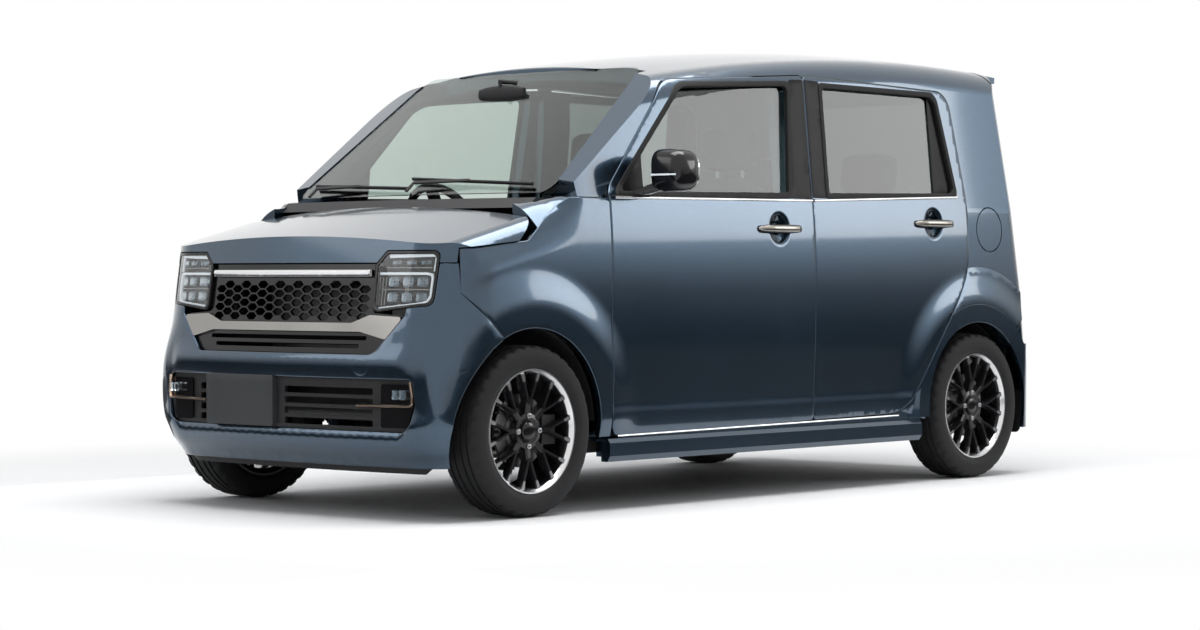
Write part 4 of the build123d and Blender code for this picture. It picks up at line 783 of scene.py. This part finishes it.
def tyre_mesh():
    """Tyre with four grooves round it and slanted cuts across the shoulders."""
    crown = [(0.0600, 0.2788)]
    for y in GROOVES:
        top, lip = 0.2805 - y * y * 0.5, GROOVE_HALF + 0.0006
        crown += [(y + lip, top), (y + GROOVE_HALF, GROOVE_R), (y - GROOVE_HALF, GROOVE_R), (y - lip, top)]
    crown.append((-0.0600, 0.2788))
    profile = TYRE_PROFILE[:-1] + crown + [(-y, r) for y, r in TYRE_PROFILE[-2::-1]]
    mesh = lathe("tyre", profile, bits=216)
    for v in mesh.vertices:
        k, i = divmod(v.index, len(profile))
        y, r = profile[i]
        if 0.052 < abs(y) < 0.0735 and r > 0.270 and (k + (0 if y > 0 else 3)) % 6 < 2:
            v.co.x *= (r - CUT_DEEP) / r
            v.co.z *= (r - CUT_DEEP) / r
    return mesh


FORMS = (("rim", wheel_mesh(), "wheel_alloy", (wheel_black, cut_alloy), "wheel_"),
         ("wheel_fittings", fittings_mesh(), "wheel_alloy", (gloss_black, nut_steel, disc_iron, rubber_and_gap_shade), None),
         ("road_tyre", tyre_mesh(), "tyre_rubber", (tyre_rubber,), "tyre_"))
for name, (x, side) in WHEELS.items():
    for label, form, slot, mats, node in FORMS:
        mesh = form.copy()
        if side < 0:
            mesh.transform(Matrix.Scale(-1, 4, (0, 1, 0)))
            mesh.flip_normals()
        mesh.transform(Matrix.Translation((x, side * TRACK_Y, AXLE_Z)))
        put(place(f"{label}_{name}", mesh), f"wheel_{name}", slot, *mats, replaces=(node + name,) if node else ())

# Front bumper: one moulding in body colour from arch to arch, with the grille mouth and the low intake cut in it.
# It hooks into the wings, screws to the front frame and swells where it meets the wheel arches.
BOW_R, BOW_HALF, CORNER_END, BOW_Y = 4.887, 0.5476, 0.8394, 0.5464
BUMPER_LOW, BUMPER_END_X = 0.172, 1.5395
LOWER_MOUTH = [(0.593, 0.459, 0.03), (0.604, 0.373, 0.06), (0.580, 0.284, 0.05)]
EYE_U, EYE_Z, EYE_R = 0.385, 0.497, 0.032


def nose_skin(u, z, lift=0.0):
    """The nose at u metres round from the centre line and height z."""
    s, a = (1 if u > 0 else -1), abs(u)
    if a < BOW_HALF:
        t = a / BOW_R
        x, y = nose_x(z) - BOW_R * (1 - cos(t)), BOW_R * sin(t)
    elif a < CORNER_END:
        t = BOW_HALF / BOW_R + (a - BOW_HALF) / CORNER_R
        x, y = nose_x(z) - CORNER_BACK + CORNER_R * cos(t), CORNER_IN + CORNER_R * sin(t)
    else:
        t = pi / 2
        x, y = nose_x(z) - CORNER_BACK - (a - CORNER_END), CORNER_OUT
    return Vector((x + lift * cos(t), s * (y * half_at(z) / CORNER_OUT + lift * sin(t)), z))


def round_from_y(y, z):
    a = abs(y) * CORNER_OUT / half_at(z)
    if a < BOW_Y:
        u = BOW_R * asin(a / BOW_R)
    else:
        u = BOW_HALF + CORNER_R * (asin(min((a - CORNER_IN) / CORNER_R, 1)) - BOW_HALF / BOW_R)
    return u if y > 0 else -u


def round_from_x(x, z):
    beyond = x - (nose_x(z) - CORNER_BACK)
    return CORNER_END - (beyond if beyond < 0 else CORNER_R * asin(min(beyond / CORNER_R, 1)))


def bumper_face(u, z):
    """The nose with the arch swell, the low step and its end, the tuck, the cheeks and the shelf over the intake."""
    a = abs(u)
    lift = flare(hypot(nose_x(z) - CORNER_BACK + CORNER_END - a - FRONT_AXLE_X, z - AXLE_Z), FRONT_ARCH, z)
    edge = hypot(max(a - 0.545, 0), max(0.300 - z, 0))
    lift += (0.018 * ease(edge / 0.036) - 0.014) * ease((0.36 - z) / 0.06) * ease((0.74 - a) / 0.08)
    lift -= 0.022 * ease((0.235 - z) / 0.06)
    cheek = (a - 0.655 - 0.22 * (0.48 - z)) / 0.055
    lift += 0.010 * ease(1 - abs(cheek)) * ease((z - 0.28) / 0.08) * ease((0.66 - z) / 0.14)
    lift += 0.006 * ease((z - 0.460) / 0.05) * ease((0.56 - z) / 0.04) * ease((0.60 - a) / 0.08)
    return nose_skin(u, z, lift)


def sunk(depth):
    """The nose moved in by a depth."""
    return lambda u, z: nose_skin(u, z, -depth)


def mirrored(half):
    """Full outline from the left half, listed from the low centre to the high centre."""
    return half + [(-u, z, r) for u, z, r in half[::-1]]


def on_nose(corners):
    return [(round_from_y(y, z), z, r) for y, z, r in corners]


arch_edge = [(round_from_x(x, z), z, 0) for x, z, _ in arc(FRONT_AXLE_X, AXLE_Z, FRONT_ARCH, -19, 63.6, 40)]
bumper_half = [(arch_edge[0][0], BUMPER_LOW, 0)] + arch_edge[1:]
bumper_half += [(round_from_x(BUMPER_END_X, z), z, 0) for z in (0.729, 0.823)]
bumper_half += on_nose([(0.642, 0.823, 0), (0.638, 0.688, 0.03), (0.548, 0.680, 0.004), (0.545, 0.657, 0.006),
                        (0.426, 0.531, 0.05)])
bumper = panel("front_bumper_skin", bumper_face, rounded(mirrored(bumper_half)),
               [rounded(mirrored(on_nose(LOWER_MOUTH)[::-1]))], thick=0.03, roll=0.004, grid=0.022, lift=0.0006,
               closed=False)
put(bumper, "shell", "body_paint", paint, replaces=("front_bumper",))
lip = panel("bumper_lip", lambda u, z: nose_skin(u, z, -0.046 + 0.3 * (z - 0.150)),
            rounded(mirrored([(0.60, 0.150, 0.02), (0.66, 0.182, 0.01)])), thick=0.03, roll=0.003, closed=False)
put(lip, "shell", "black_plastic", trim_black)
eye = panel("tow_eye_cover", bumper_face, rounded(arc(EYE_U, EYE_Z, EYE_R, 0, 345, 23)), thick=0.004, roll=0.001,
            lift=0.0012, closed=False)
put(eye, "shell", "body_paint", paint)

# Grille: chrome-plated bar and a dark chrome smile over a gloss black honeycomb, all clipped to the bumper. A plain
# black number plate without letters hangs on two screws in the low intake, right of the middle.
BAR_MID = 0.7935
PLATE_X, PLATE_Y, PLATE_CZ, PLATE_W, PLATE_H = 1.704, -0.185, 0.374, 0.330, 0.165
dark_chrome = moulded("dark_chrome", (0.30, 0.29, 0.28), (0.38, 0.37, 0.35), 240.0, 0.10, 0.03, metallic=1.0)
plate_grey = moulded("plate_grey", (0.030, 0.034, 0.037), (0.036, 0.040, 0.043), 500.0, 0.42, 0.05)
wear(nodes["upper_grille"], gloss_black)
wear(nodes["lower_grille"], trim_black)
wear(nodes["grille_garnish"], dark_chrome)
bar = panel("grille_bar",
            lambda u, z: nose_skin(u, z, 0.006 - 0.30 * abs(z - BAR_MID) + (0.004 if z > BAR_MID else 0)),
            rounded(mirrored([(0.384, 0.7855, 0.003), (0.381, 0.8050, 0.003)])), thick=0.012, roll=0.0015, grid=0.005,
            closed=False)
put(bar, "shell", "satin_chrome", bright_metal)
plate = panel("front_plate", lambda y, z: Vector((PLATE_X, y, z)),
              rect(PLATE_Y - PLATE_W / 2, PLATE_CZ - PLATE_H / 2, PLATE_Y + PLATE_W / 2, PLATE_CZ + PLATE_H / 2, 0.008),
              thick=0.030, roll=0.0015)
put(plate, "shell", "black_plastic", plate_grey, trim_black)

# Headlamps: a black moulded bowl with plated cells, three crystals over three in the lower window and three small
# ones above, a white light pipe round them and a clear hard-coated cover welded to the bowl.
LAMP = [(0.443, 0.866, 0.014), (0.400, 0.822, 0.014), (0.402, 0.668, 0.020), (0.634, 0.692, 0.024),
        (0.638, 0.866, 0.018)]
BEZEL, LAMP_STEP = 0.009, 0.010
clear_cover = glazing("clear_cover", (0.95, 0.97, 0.98))
light_pipe = material("light_pipe", Base_Color=(0.80, 0.84, 0.86, 1), Roughness=0.25,
                      Emission_Color=(0.85, 0.93, 1.0, 1), Emission_Strength=0.25)[0]
crystal = material("crystal", Base_Color=(0.52, 0.57, 0.60, 1), Metallic=0.9, Roughness=0.05)[0]
bowl_black = moulded("bowl_black", (0.012, 0.013, 0.014), (0.020, 0.021, 0.022), 300.0, 0.18, 0.05, metallic=0.4)
# name, path of (y, z), depth behind the skin, width, thickness, material, slot
PIPES = [("light_pipe", [(0.414, 0.793), (0.600, 0.793), (0.618, 0.790), (0.622, 0.778), (0.621, 0.722), (0.612, 0.704),
                         (0.590, 0.698), (0.422, 0.682)], 0.016, 0.0085, 0.010, light_pipe, "lamp_glass"),
         ("day_strip", [(0.448, 0.848), (0.624, 0.852)], 0.014, 0.012, 0.008, light_pipe, "lamp_glass"),
         ("outer_pipe", [(0.6265, 0.850), (0.6245, 0.800)], 0.016, 0.006, 0.008, light_pipe, "lamp_glass")]
PIPES += [(f"lamp_rib_{k}", [(0.430, z), (0.616, z)], 0.022, 0.004, 0.012, dark_chrome, "black_plastic")
          for k, z in enumerate((0.742, 0.812))]
PIPES += [(f"lamp_fin_{k}", [(y, 0.780), (y, 0.690)], 0.024, 0.003, 0.010, dark_chrome, "black_plastic")
          for k, y in enumerate((0.412, 0.424, 0.436))]
GEM_RIM = ((-1, -0.7), (-0.7, -1), (0.7, -1), (1, -0.7), (1, 0.7), (0.7, 1), (-0.7, 1), (-1, 0.7))
GEM_DEEP = 0.016


def tube(name, path, width, deep, on=None):
    """Rounded bar along a path of points, width across the skin and deep along its normal."""
    rings = []
    for i, p in enumerate(path):
        along = (path[min(i + 1, len(path) - 1)] - path[max(i - 1, 0)]).normalized()
        side = along.cross(on[i] if on else Vector((1, 0.35, 0))).normalized()
        up = side.cross(along).normalized()
        rings.append([p + side * a + up * b for a, b in oval(width / 2, deep / 2, 10, 3.2)])
    return sweep(name, rings)


def lamp_path(points, depth, step=0.006):
    path = []
    for p, q in zip(points, points[1:]):
        bits = max(1, ceil(hypot(q[0] - p[0], q[1] - p[1]) / step))
        path += [(p[0] + (q[0] - p[0]) * k / bits, p[1] + (q[1] - p[1]) * k / bits) for k in range(bits)]
    path.append(points[-1])
    return [nose_skin(round_from_y(y, z), z, -depth) for y, z in path]


def gem(bm, y, z, w, h, depth):
    """A cut crystal: a sloped rim round four small pyramids."""
    u = round_from_y(y, z)
    rim, floor = ([bm.verts.new(nose_skin(u + sy * w * inset, z + sz * h * inset, -depth - deep)) for sy, sz in GEM_RIM]
                  for inset, deep in ((1.0, 0.0), (0.62, GEM_DEEP)))
    for k in range(8):
        bm.faces.new((rim[k], rim[(k + 1) % 8], floor[(k + 1) % 8], floor[k]))
    for cy, cz in ((-0.3, 0.3), (0.3, 0.3), (0.3, -0.3), (-0.3, -0.3)):
        base = [bm.verts.new(nose_skin(u + (cy + sy * 0.28) * w, z + (cz + sz * 0.28) * h, -depth - 0.015))
                for sy, sz in ((-1, -1), (1, -1), (1, 1), (-1, 1))]
        tip = bm.verts.new(nose_skin(u + cy * w * 0.9, z + cz * h * 0.9, -depth - 0.004))
        for k in range(4):
            bm.faces.new((base[k], base[(k + 1) % 4], tip))
    bm.faces.new(floor)


def gems(name, rows):
    """Crystals from rows of (y, z, half width, half height, depth), as one piece."""
    bm = bmesh.new()
    for row in rows:
        gem(bm, *row)
    return place(name, settle(bpy.data.meshes.new(name), bm))


lamp_outline = rounded(on_nose(LAMP), -0.002, LAMP_STEP)
lamp_window = rounded(on_nose(LAMP), -BEZEL, LAMP_STEP)
dress(panel("headlamp_bowl_left", sunk(0.048), lamp_outline, thick=-0.046, roll=0.0, closed=False), "shell",
      "black_plastic", bowl_black, replaces=("headlamps",))
dress(panel("headlamp_rim_left", nose_skin, lamp_outline, [lamp_window], thick=0.012, roll=0.0015, lift=0.0005,
            closed=False), "shell", "gloss_black", gloss_black)
dress(panel("headlamp_cover_left", nose_skin, lamp_window, thick=0.003, roll=0.0005, lift=-0.001), "shell",
      "lamp_glass", clear_cover, clear_cover)
for name, points, depth, wide, deep, mat, slot in PIPES:
    dress(tube(f"{name}_left", lamp_path(points, depth), wide, deep), "shell", slot, mat)
dress(gems("lamp_gems_left", [row for y in (0.470, 0.530, 0.588) for row in (
    (y, 0.767, 0.021, 0.015, 0.018), (y, 0.717, 0.021, 0.015, 0.018), (y + 0.006, 0.828, 0.019, 0.008, 0.018))]),
    "shell", "black_plastic", crystal)

# Fog lamps: small LED units in black pockets at the ends of the low intake, under an L of champagne-coloured trim
# that is plated and snapped on.
champagne = moulded("champagne_plate", (0.62, 0.47, 0.36), (0.70, 0.55, 0.44), 260.0, 0.16, 0.03, metallic=1.0)
wear(nodes["fog_lamps"], gloss_black)
trim_path = lamp_path([(0.585, 0.448), (0.592, 0.400), (0.591, 0.378), (0.582, 0.371), (0.369, 0.369)], -0.002)
dress(tube("fog_trim_left", trim_path, 0.0085, 0.016), "shell", "satin_chrome", champagne)
unit = panel("fog_unit_left", sunk(0.006), rounded(on_nose(
    [(0.500, 0.386, 0.004), (0.500, 0.428, 0.004), (0.578, 0.428, 0.006), (0.580, 0.386, 0.006)])), thick=0.02,
    roll=0.002, closed=False)
dress(unit, "shell", "black_plastic", bowl_black)
dress(gems("fog_gems_left", [(y, 0.407, 0.013, 0.015, -0.011) for y in (0.535, 0.562)]), "shell", "black_plastic",
      crystal)

# Door mirrors: two-part gloss black housings on a moulded foot at the sail of the front doors, with a silvered
# pane behind and a slim clear repeater along the front edge.
MIRROR_X, MIRROR_Z, MIRROR_IN, MIRROR_OUT = 0.6325, 1.142, 0.744, 0.890
MIRROR_MID, MIRROR_HALF = (MIRROR_IN + MIRROR_OUT) / 2, (MIRROR_OUT - MIRROR_IN) / 2
mirror_silver = moulded("mirror_silver", (0.80, 0.81, 0.82), (0.84, 0.85, 0.86), 200.0, 0.02, 0.0, metallic=1.0)
for name in ("door_mirror_left", "door_mirror_right"):
    wear(nodes[name], gloss_black)
rings = []
for k in range(19):
    t = -1 + k / 9
    y = MIRROR_MID + MIRROR_HALF * sin(t * pi / 2)
    full = max(1 - abs(sin(t * pi / 2)) ** 5, 0.0) ** 0.4
    size = oval(max(0.061 * full, 0.004), max(0.068 * full * (1.04 - 0.10 * t), 0.004), 28, 3.6)
    rings.append([Vector((MIRROR_X + 0.004 + a * (1.0 if a < 0 else 1.05), y,
                          MIRROR_Z + 0.001 + b - 0.010 * (y - 0.817))) for a, b in size])
dress(sweep("mirror_housing_left", rings), "front_door_left", "gloss_black", gloss_black,
      replaces=("door_mirror_left",))
foot = [[Vector((MIRROR_X + 0.048 - 0.01 * k + a, 0.690 + 0.024 * k, 1.062 + 0.010 * k + b))
         for a, b in oval(0.045 - 0.004 * k, 0.013, 16, 3)] for k in range(5)]
dress(sweep("mirror_foot_left", foot), "front_door_left", "gloss_black", gloss_black)
pane = panel("mirror_pane_left", lambda y, z: Vector((MIRROR_X - 0.0585, y, z)), rounded(
    [(0.762, 1.090, 0.02), (0.872, 1.094, 0.025), (0.874, 1.188, 0.03), (0.762, 1.192, 0.025)]), thick=0.006,
    roll=0.001, out=-1, closed=False)
dress(pane, "front_door_left", "satin_chrome", mirror_silver)
path = [Vector((MIRROR_X + 0.0655 - 0.30 * max(y - 0.852, 0), y, 1.127))
        for y in (0.765, 0.79, 0.815, 0.84, 0.858, 0.87)]
dress(tube("mirror_repeater_left", path, 0.007, 0.006), "front_door_left", "lamp_glass", light_pipe)

# Sills: moulded skirts in body colour, clipped under the doors. A bright roll-formed strip is pressed in along the
# upper edge of each.
path = [(0.815 - 1.60 * k / 40, 0.2475 + 0.012 * k / 40) for k in range(41)]
dress(strip("skirt_strip_left", path, 0.010, 0.006), "shell", "satin_chrome", bright_metal)

# Cowl: black moulded panel under the windscreen, painted covers at its ends that carry on the bonnet's line, and two
# wipers with jointed blades lying along the foot of the glass.
END_X, END_L, END_Y, END_Z = 1.188, 0.258, 0.585, 1.034
# name, y and z from the blade's outer end to its inner end
WIPERS = (("left", 0.54, -0.02, 1.084, 1.112), ("right", 0.00, -0.54, 1.078, 1.098))


def faces_of(*names):
    """The faces of CAD nodes, for casting rays on them."""
    spots, faces = [], []
    for name in names:
        base = len(spots)
        spots += [v.co for v in nodes[name].data.vertices]
        faces += [tuple(base + k for k in p.vertices) for p in nodes[name].data.polygons]
    return BVHTree.FromPolygons(spots, faces)


def screen_point(y, z, lift):
    hit, normal, _, _ = screen.ray_cast(Vector((3.0, y, z)), Vector((-1, 0, 0)))
    return hit + normal * lift


screen = faces_of("windscreen")
wear(nodes["cowl_panel"], trim_black)
rings = []
for k in range(25):
    x = END_X - END_L * k / 24
    z = min(0.983 + (1.1445 - x) * 0.598, 1.047) if x < 1.1445 else 0.902 + (1.2415 - x) * 0.835
    edge = fender_side(x, z - 0.003) - Vector((0, 0.004, 0))
    inner = Vector((x, END_Y, END_Z - 0.010 * ease((x - 1.10) / 0.08)))
    top = [edge.lerp(inner, i / 8) + Vector((0, 0, 0.012 * sin(pi * i / 8))) for i in range(9)]
    rings.append(top + [inner - Vector((0, 0, 0.03)), edge - Vector((0, 0.004, 0.03))])
dress(sweep("cowl_end_left", rings), "shell", "body_paint", paint)
for name, y0, y1, z0, z1 in WIPERS:
    blade = [screen_point(y0 + (y1 - y0) * k / 24, z0 + (z1 - z0) * k / 24, 0.012) for k in range(25)]
    mid_z = z0 + (z1 - z0) * 0.5
    arm = [screen_point(y1 + (y0 - y1) * (0.5 - 0.62 * k / 10), mid_z - 0.010 * k / 10, 0.016 + 0.006 * k / 10)
           for k in range(8)]
    knee = screen_point(y1 + (y0 - y1) * (0.5 - 0.62 * 0.7), mid_z - 0.007, 0.020)
    arm += [knee + Vector((0.012, 0, -0.010)) * k for k in (1, 2, 3)]
    for label, points, wide, deep in (("blade", blade, 0.009, 0.013), ("arm", arm, 0.014, 0.008)):
        put(tube(f"wiper_{label}_{name}", points, wide, deep, [Vector((0.7, 0, 0.7))] * len(points)), "shell",
            "black_plastic", trim_black)

# Roof: pressed panel brazed to the sides, with a short rubber mast at the back and a thin black line of painted shadow
# along the gap where the tailgate's spoiler meets the rear corners.
MAST_X, MAST_L, MAST_Z = -1.250, 0.122, 1.642
rings = []
for k in range(13):
    t = k / 12
    tall = 0.004 + 0.031 * min(1.0, t / 0.7) ** 0.6
    rings.append([Vector((MAST_X - MAST_L * t, a, MAST_Z + tall * (0.5 + b))) for a, b in
                  oval(0.016 + 0.006 * (1 - t), 0.5, 14, 2.4)])
put(sweep("roof_mast", rings), "shell", "black_plastic", trim_black)
# The spoiler's joint is a thin black tube laid on the side: painted shadow of the gap.
side_faces = faces_of("body_side_left")
path, ways = [], []
for t in (k / 24 for k in range(25)):
    start = Vector((-1.445 - 0.090 * t, 2.0, 1.622 - 0.135 * t ** 1.3))
    hit, normal, _, _ = side_faces.ray_cast(start, Vector((0, -1, 0)))
    if hit:
        path.append(hit + normal * 0.0006)
        ways.append(normal)
dress(tube("spoiler_joint_left", path, 0.006, 0.0016, ways), "shell", "black_plastic", rubber_and_gap_shade)

# Tail: red moulded lenses in the corners, red reflectors and a black lip in the bumper, a wiper, stop lamp, handle bar
# and plain plate without letters on the tailgate, and rubber flaps behind the rear wheels.
TAIL_X, TAIL_Z, TAIL_LEAN = -1.6755, 0.52, 0.1336
red_lens = moulded("red_lens", (0.30, 0.004, 0.006), (0.36, 0.008, 0.010), 90.0, 0.06, 0.02, coat=1.0)
plate_white = moulded("plate_white", (0.72, 0.72, 0.70), (0.76, 0.76, 0.74), 400.0, 0.35, 0.05)
tail_faces, bumper_faces = faces_of("tailgate", "tailgate_glass"), faces_of("rear_bumper")
# name, outline as for rect, faces under it, lift, body, material, slot
TAIL_TRIMS = (
    ("handle_bar", (-0.30, 0.866, 0.30, 0.906, 0.016), tail_faces, 0.011, "tailgate", gloss_black, "gloss_black"),
    ("stop_lamp", (-0.11, 1.494, 0.11, 1.510, 0.007), tail_faces, 0.003, "tailgate", red_lens, "red_lens"),
    ("bumper_lip", (-0.56, 0.192, 0.56, 0.256, 0.02), bumper_faces, 0.004, "shell", trim_black, "black_plastic"),
    ("reflector_left", (0.46, 0.372, 0.60, 0.402, 0.012), bumper_faces, 0.004, "shell", red_lens, "red_lens"),
    ("reflector_right", (-0.60, 0.372, -0.46, 0.402, 0.012), bumper_faces, 0.004, "shell", red_lens, "red_lens"))


def on_tail(faces, lift):
    def surface(y, z):
        hit, _, _, _ = faces.ray_cast(Vector((-3.0, y, z)), Vector((1, 0, 0)))
        return hit - Vector((lift, 0, 0))
    return surface


wear(nodes["tail_lamps"], red_lens)
plate = panel("rear_plate", lambda y, z: Vector((TAIL_X + (z - TAIL_Z) * TAIL_LEAN - 0.006, y, z)),
              rect(-0.165, 0.678, 0.165, 0.842, 0.008), thick=0.006, roll=0.001, out=-1)
put(plate, "tailgate", "black_plastic", plate_white, trim_black)
for name, outline, faces, lift, body, mat, slot in TAIL_TRIMS:
    trim = panel(f"rear_{name}", on_tail(faces, lift), rect(*outline), thick=lift + 0.004, roll=0.003, out=-1)
    put(trim, body, slot, mat, mat)
glass_top = on_tail(tail_faces, 0.010)
blade = [glass_top(0.02 + 0.36 * k / 20, 1.122 - 0.010 * k / 20) for k in range(21)]
arm = [glass_top(-0.01 + 0.21 * k / 10, 1.046 + 0.073 * k / 10) - Vector((0.008, 0, 0)) for k in range(11)]
for name, points, wide, deep in (("blade", blade, 0.009, 0.013), ("arm", arm, 0.015, 0.009)):
    put(tube(f"rear_wiper_{name}", points, wide, deep, [Vector((-1, 0, 0.13))] * len(points)), "tailgate",
        "black_plastic", trim_black)
flap = panel("mud_flap_left", lambda y, z: Vector((-1.628 - 0.10 * (z - 0.30), y, z)), rounded(
    [(0.600, 0.165, 0.02), (0.700, 0.165, 0.02), (0.712, 0.330, 0.01), (0.600, 0.330, 0.01)]), thick=0.005, roll=0.002)
dress(flap, "shell", "black_plastic", rubber_and_gap_shade, rubber_and_gap_shade)

# Seats: foam pads in woven dark cloth with sewn channels, on steel frames; head rests on two steel posts. The cloth
# is pulled in at the seams, so each pad is crowned between them.
weave, inner, outer = group("woven_cloth", [("Dark", "NodeSocketColor", (0.02, 0.02, 0.02, 1)),
                                           ("Pale", "NodeSocketColor", (0.05, 0.05, 0.05, 1)),
                                           ("Threads", "NodeSocketFloat", 700.0)],
                            [("Colour", "NodeSocketColor"), ("Roughness", "NodeSocketFloat"),
                             ("Normal", "NodeSocketVector")])
coords = add_node(weave, "ShaderNodeTexCoord")
slant = add_node(weave, "ShaderNodeMapping", Rotation=(0.0, 0.4, 0.0))
cross = add_node(weave, "ShaderNodeMath", operation="MULTIPLY")
rough = add_node(weave, "ShaderNodeMapRange", To_Min=0.78, To_Max=0.92)
bump = add_node(weave, "ShaderNodeBump", Strength=0.4, Distance=0.0006)
for k, direction in enumerate("XY"):
    wave = add_node(weave, "ShaderNodeTexWave", bands_direction=direction, Distortion=0.6)
    wire(weave, (slant.outputs[0], wave.inputs["Vector"]), (inner.outputs["Threads"], wave.inputs["Scale"]),
         (wave.outputs["Fac"], cross.inputs[k]))
wire(weave, (coords.outputs["Object"], slant.inputs["Vector"]), (cross.outputs[0], rough.inputs["Value"]),
     (mixed(weave, inner.outputs["Dark"], inner.outputs["Pale"], cross.outputs[0]), outer.inputs["Colour"]),
     (rough.outputs["Result"], outer.inputs["Roughness"]), (cross.outputs[0], bump.inputs["Height"]),
     (bump.outputs[0], outer.inputs["Normal"]))
seat_cloth = grouped("seat_cloth", weave, {"Dark": (0.016, 0.017, 0.019, 1), "Pale": (0.050, 0.052, 0.056, 1),
                                           "Threads": 420.0})
frame_black = moulded("frame_black", (0.014, 0.014, 0.014), (0.022, 0.022, 0.022), 260.0, 0.5, 0.2, shine=0.3)
PAD_POWER, PAD_BITS, SIDE_SEAM = 0.42, 40, 0.66


def cushion(name, node, centre, size, lean, seams=()):
    """Crowned pad: half sizes along its run, across and through, leant back, with channels sewn across the run."""
    run, wide, deep = size
    turn = Matrix.Rotation(lean, 3, "Y")
    rings = []
    for i in range(1, PAD_BITS):
        a = -pi / 2 + pi * i / PAD_BITS
        ring = []
        for k in range(2 * PAD_BITS):
            b = 2 * pi * k / (2 * PAD_BITS)
            u, girth = bent(sin(a), PAD_POWER), bent(cos(a), PAD_POWER)
            v, w = girth * bent(cos(b), PAD_POWER), girth * bent(sin(b), PAD_POWER * 1.3)
            crown = 1 - 0.16 * (u * u + v * v) * 0.5
            pull = 1 - 0.035 * (1 - abs(w)) * (1 - u * u)
            dent = sum(0.10 * 2.7 ** (-((u - s) / 0.035) ** 2) for s in seams) if w > 0 else 0
            dent += 0.08 * 2.7 ** (-((abs(v) - SIDE_SEAM) / 0.03) ** 2) if w > 0.3 and seams else 0
            ring.append(Vector(centre) + turn @ Vector((u * run, v * wide * pull, (w * crown - dent * w) * deep)))
        rings.append(ring)
    pad = sweep(name, rings)
    put(pad, "shell", "seat_cloth", seat_cloth, replaces=(node,))


def seat_frame(name, node, z, thick, *corners):
    plinth = panel(name, lambda u, v: Vector((u, v, z)), rect(*corners, 0.02), thick=thick)
    put(plinth, "shell", "bare_steel", frame_black, frame_black, replaces=(node,))


for side, y in (("left", 0.330), ("right", -0.330)):
    cushion(f"front_seat_base_{side}", "front_seats", (0.185, y, 0.492), (0.262, 0.243, 0.090), radians(-5.2),
            (-0.45, 0.1, 0.6))
    cushion(f"front_seat_back_{side}", "front_seats", (-0.110, y, 0.838), (0.318, 0.240, 0.062), radians(-106.5),
            (-0.5, 0.0, 0.5))
    cushion(f"front_head_rest_{side}", "front_seats", (-0.2495, y, 1.255), (0.080, 0.124, 0.044), radians(-96))
    for k, off in enumerate((-0.06, 0.06)):
        post = tube(f"front_rest_post_{side}_{k}", [Vector((-0.2495, y + off, z)) for z in (1.100, 1.14, 1.19)], 0.014,
                    0.014)
        put(post, "shell", "bare_steel", nut_steel, replaces=("front_seats",))
    seat_frame(f"front_seat_frame_{side}", "front_seats", 0.408, 0.13, -0.080, y - 0.178, 0.372, y + 0.178)
cushion("rear_seat_base", "rear_seat", (-0.745, 0.0, 0.520), (0.250, 0.516, 0.088), radians(-4), (-0.4, 0.3))
cushion("rear_seat_back", "rear_seat", (-1.035, 0.0, 0.815), (0.275, 0.516, 0.060), radians(-109), (-0.4, 0.1, 0.6))
for k, y in enumerate((0.300, -0.300)):
    cushion(f"rear_head_rest_{k}", "rear_seat", (-1.1525, y, 1.188), (0.078, 0.124, 0.043), radians(-96))
seat_frame("rear_seat_frame", "rear_seat", 0.438, 0.06, -0.985, -0.478, -0.545, 0.478)

# Driving place: grained black fascia, leather-wrapped wheel and a moulded inner mirror on a stem that is bonded to the
# windscreen.
INNER_X, INNER_Z, INNER_HALF = 0.628, 1.436, 0.11
fascia = moulded("fascia_grain", (0.014, 0.014, 0.015), (0.026, 0.026, 0.028), 650.0, 0.55, 0.4, shine=0.3)
leather = moulded("wheel_leather", (0.012, 0.012, 0.012), (0.020, 0.020, 0.020), 520.0, 0.42, 0.3, shine=0.35)
wear(nodes["dashboard"], fascia)
wear(nodes["steering_wheel"], leather)
rings = []
for k in range(13):
    full = max(sin(pi * (k + 0.6) / 13.2), 0.2) ** 0.3
    centre = Vector((INNER_X, -INNER_HALF + 2 * INNER_HALF * k / 12, INNER_Z))
    rings.append([centre + Vector((a, 0, b)) for a, b in oval(0.014 * full, 0.030 * full)])
put(sweep("inner_mirror", rings), "shell", "black_plastic", trim_black)
stem = [Vector((0.632, 0, 1.452)), Vector((0.640, 0, 1.478)), screen_point(0.0, 1.49, -0.012)]
put(tube("inner_mirror_stem", stem, 0.016, 0.016), "shell", "black_plastic", trim_black)

# Underside: cast engine, plated exhaust, coated axle and knuckles, and a moulded tank, bolted under the black-coated
# floor and front frame.
engine_cast = moulded("engine_cast", (0.16, 0.16, 0.16), (0.26, 0.26, 0.26), 140.0, 0.45, 0.4, metallic=0.9)
exhaust_steel = moulded("exhaust_steel", (0.34, 0.32, 0.29), (0.46, 0.43, 0.39), 120.0, 0.34, 0.2, metallic=1.0)
axle_coat = moulded("axle_coat", (0.020, 0.020, 0.021), (0.034, 0.034, 0.035), 180.0, 0.45, 0.3, metallic=0.3)
tank_black = moulded("tank_black", (0.016, 0.016, 0.016), (0.026, 0.026, 0.026), 220.0, 0.5, 0.3, shine=0.3)
for name, mat in (("engine_block", engine_cast), ("exhaust", exhaust_steel), ("rear_axle", axle_coat),
                  ("knuckle_left", axle_coat), ("knuckle_right", axle_coat), ("fuel_tank", tank_black)):
    wear(nodes[name], mat)
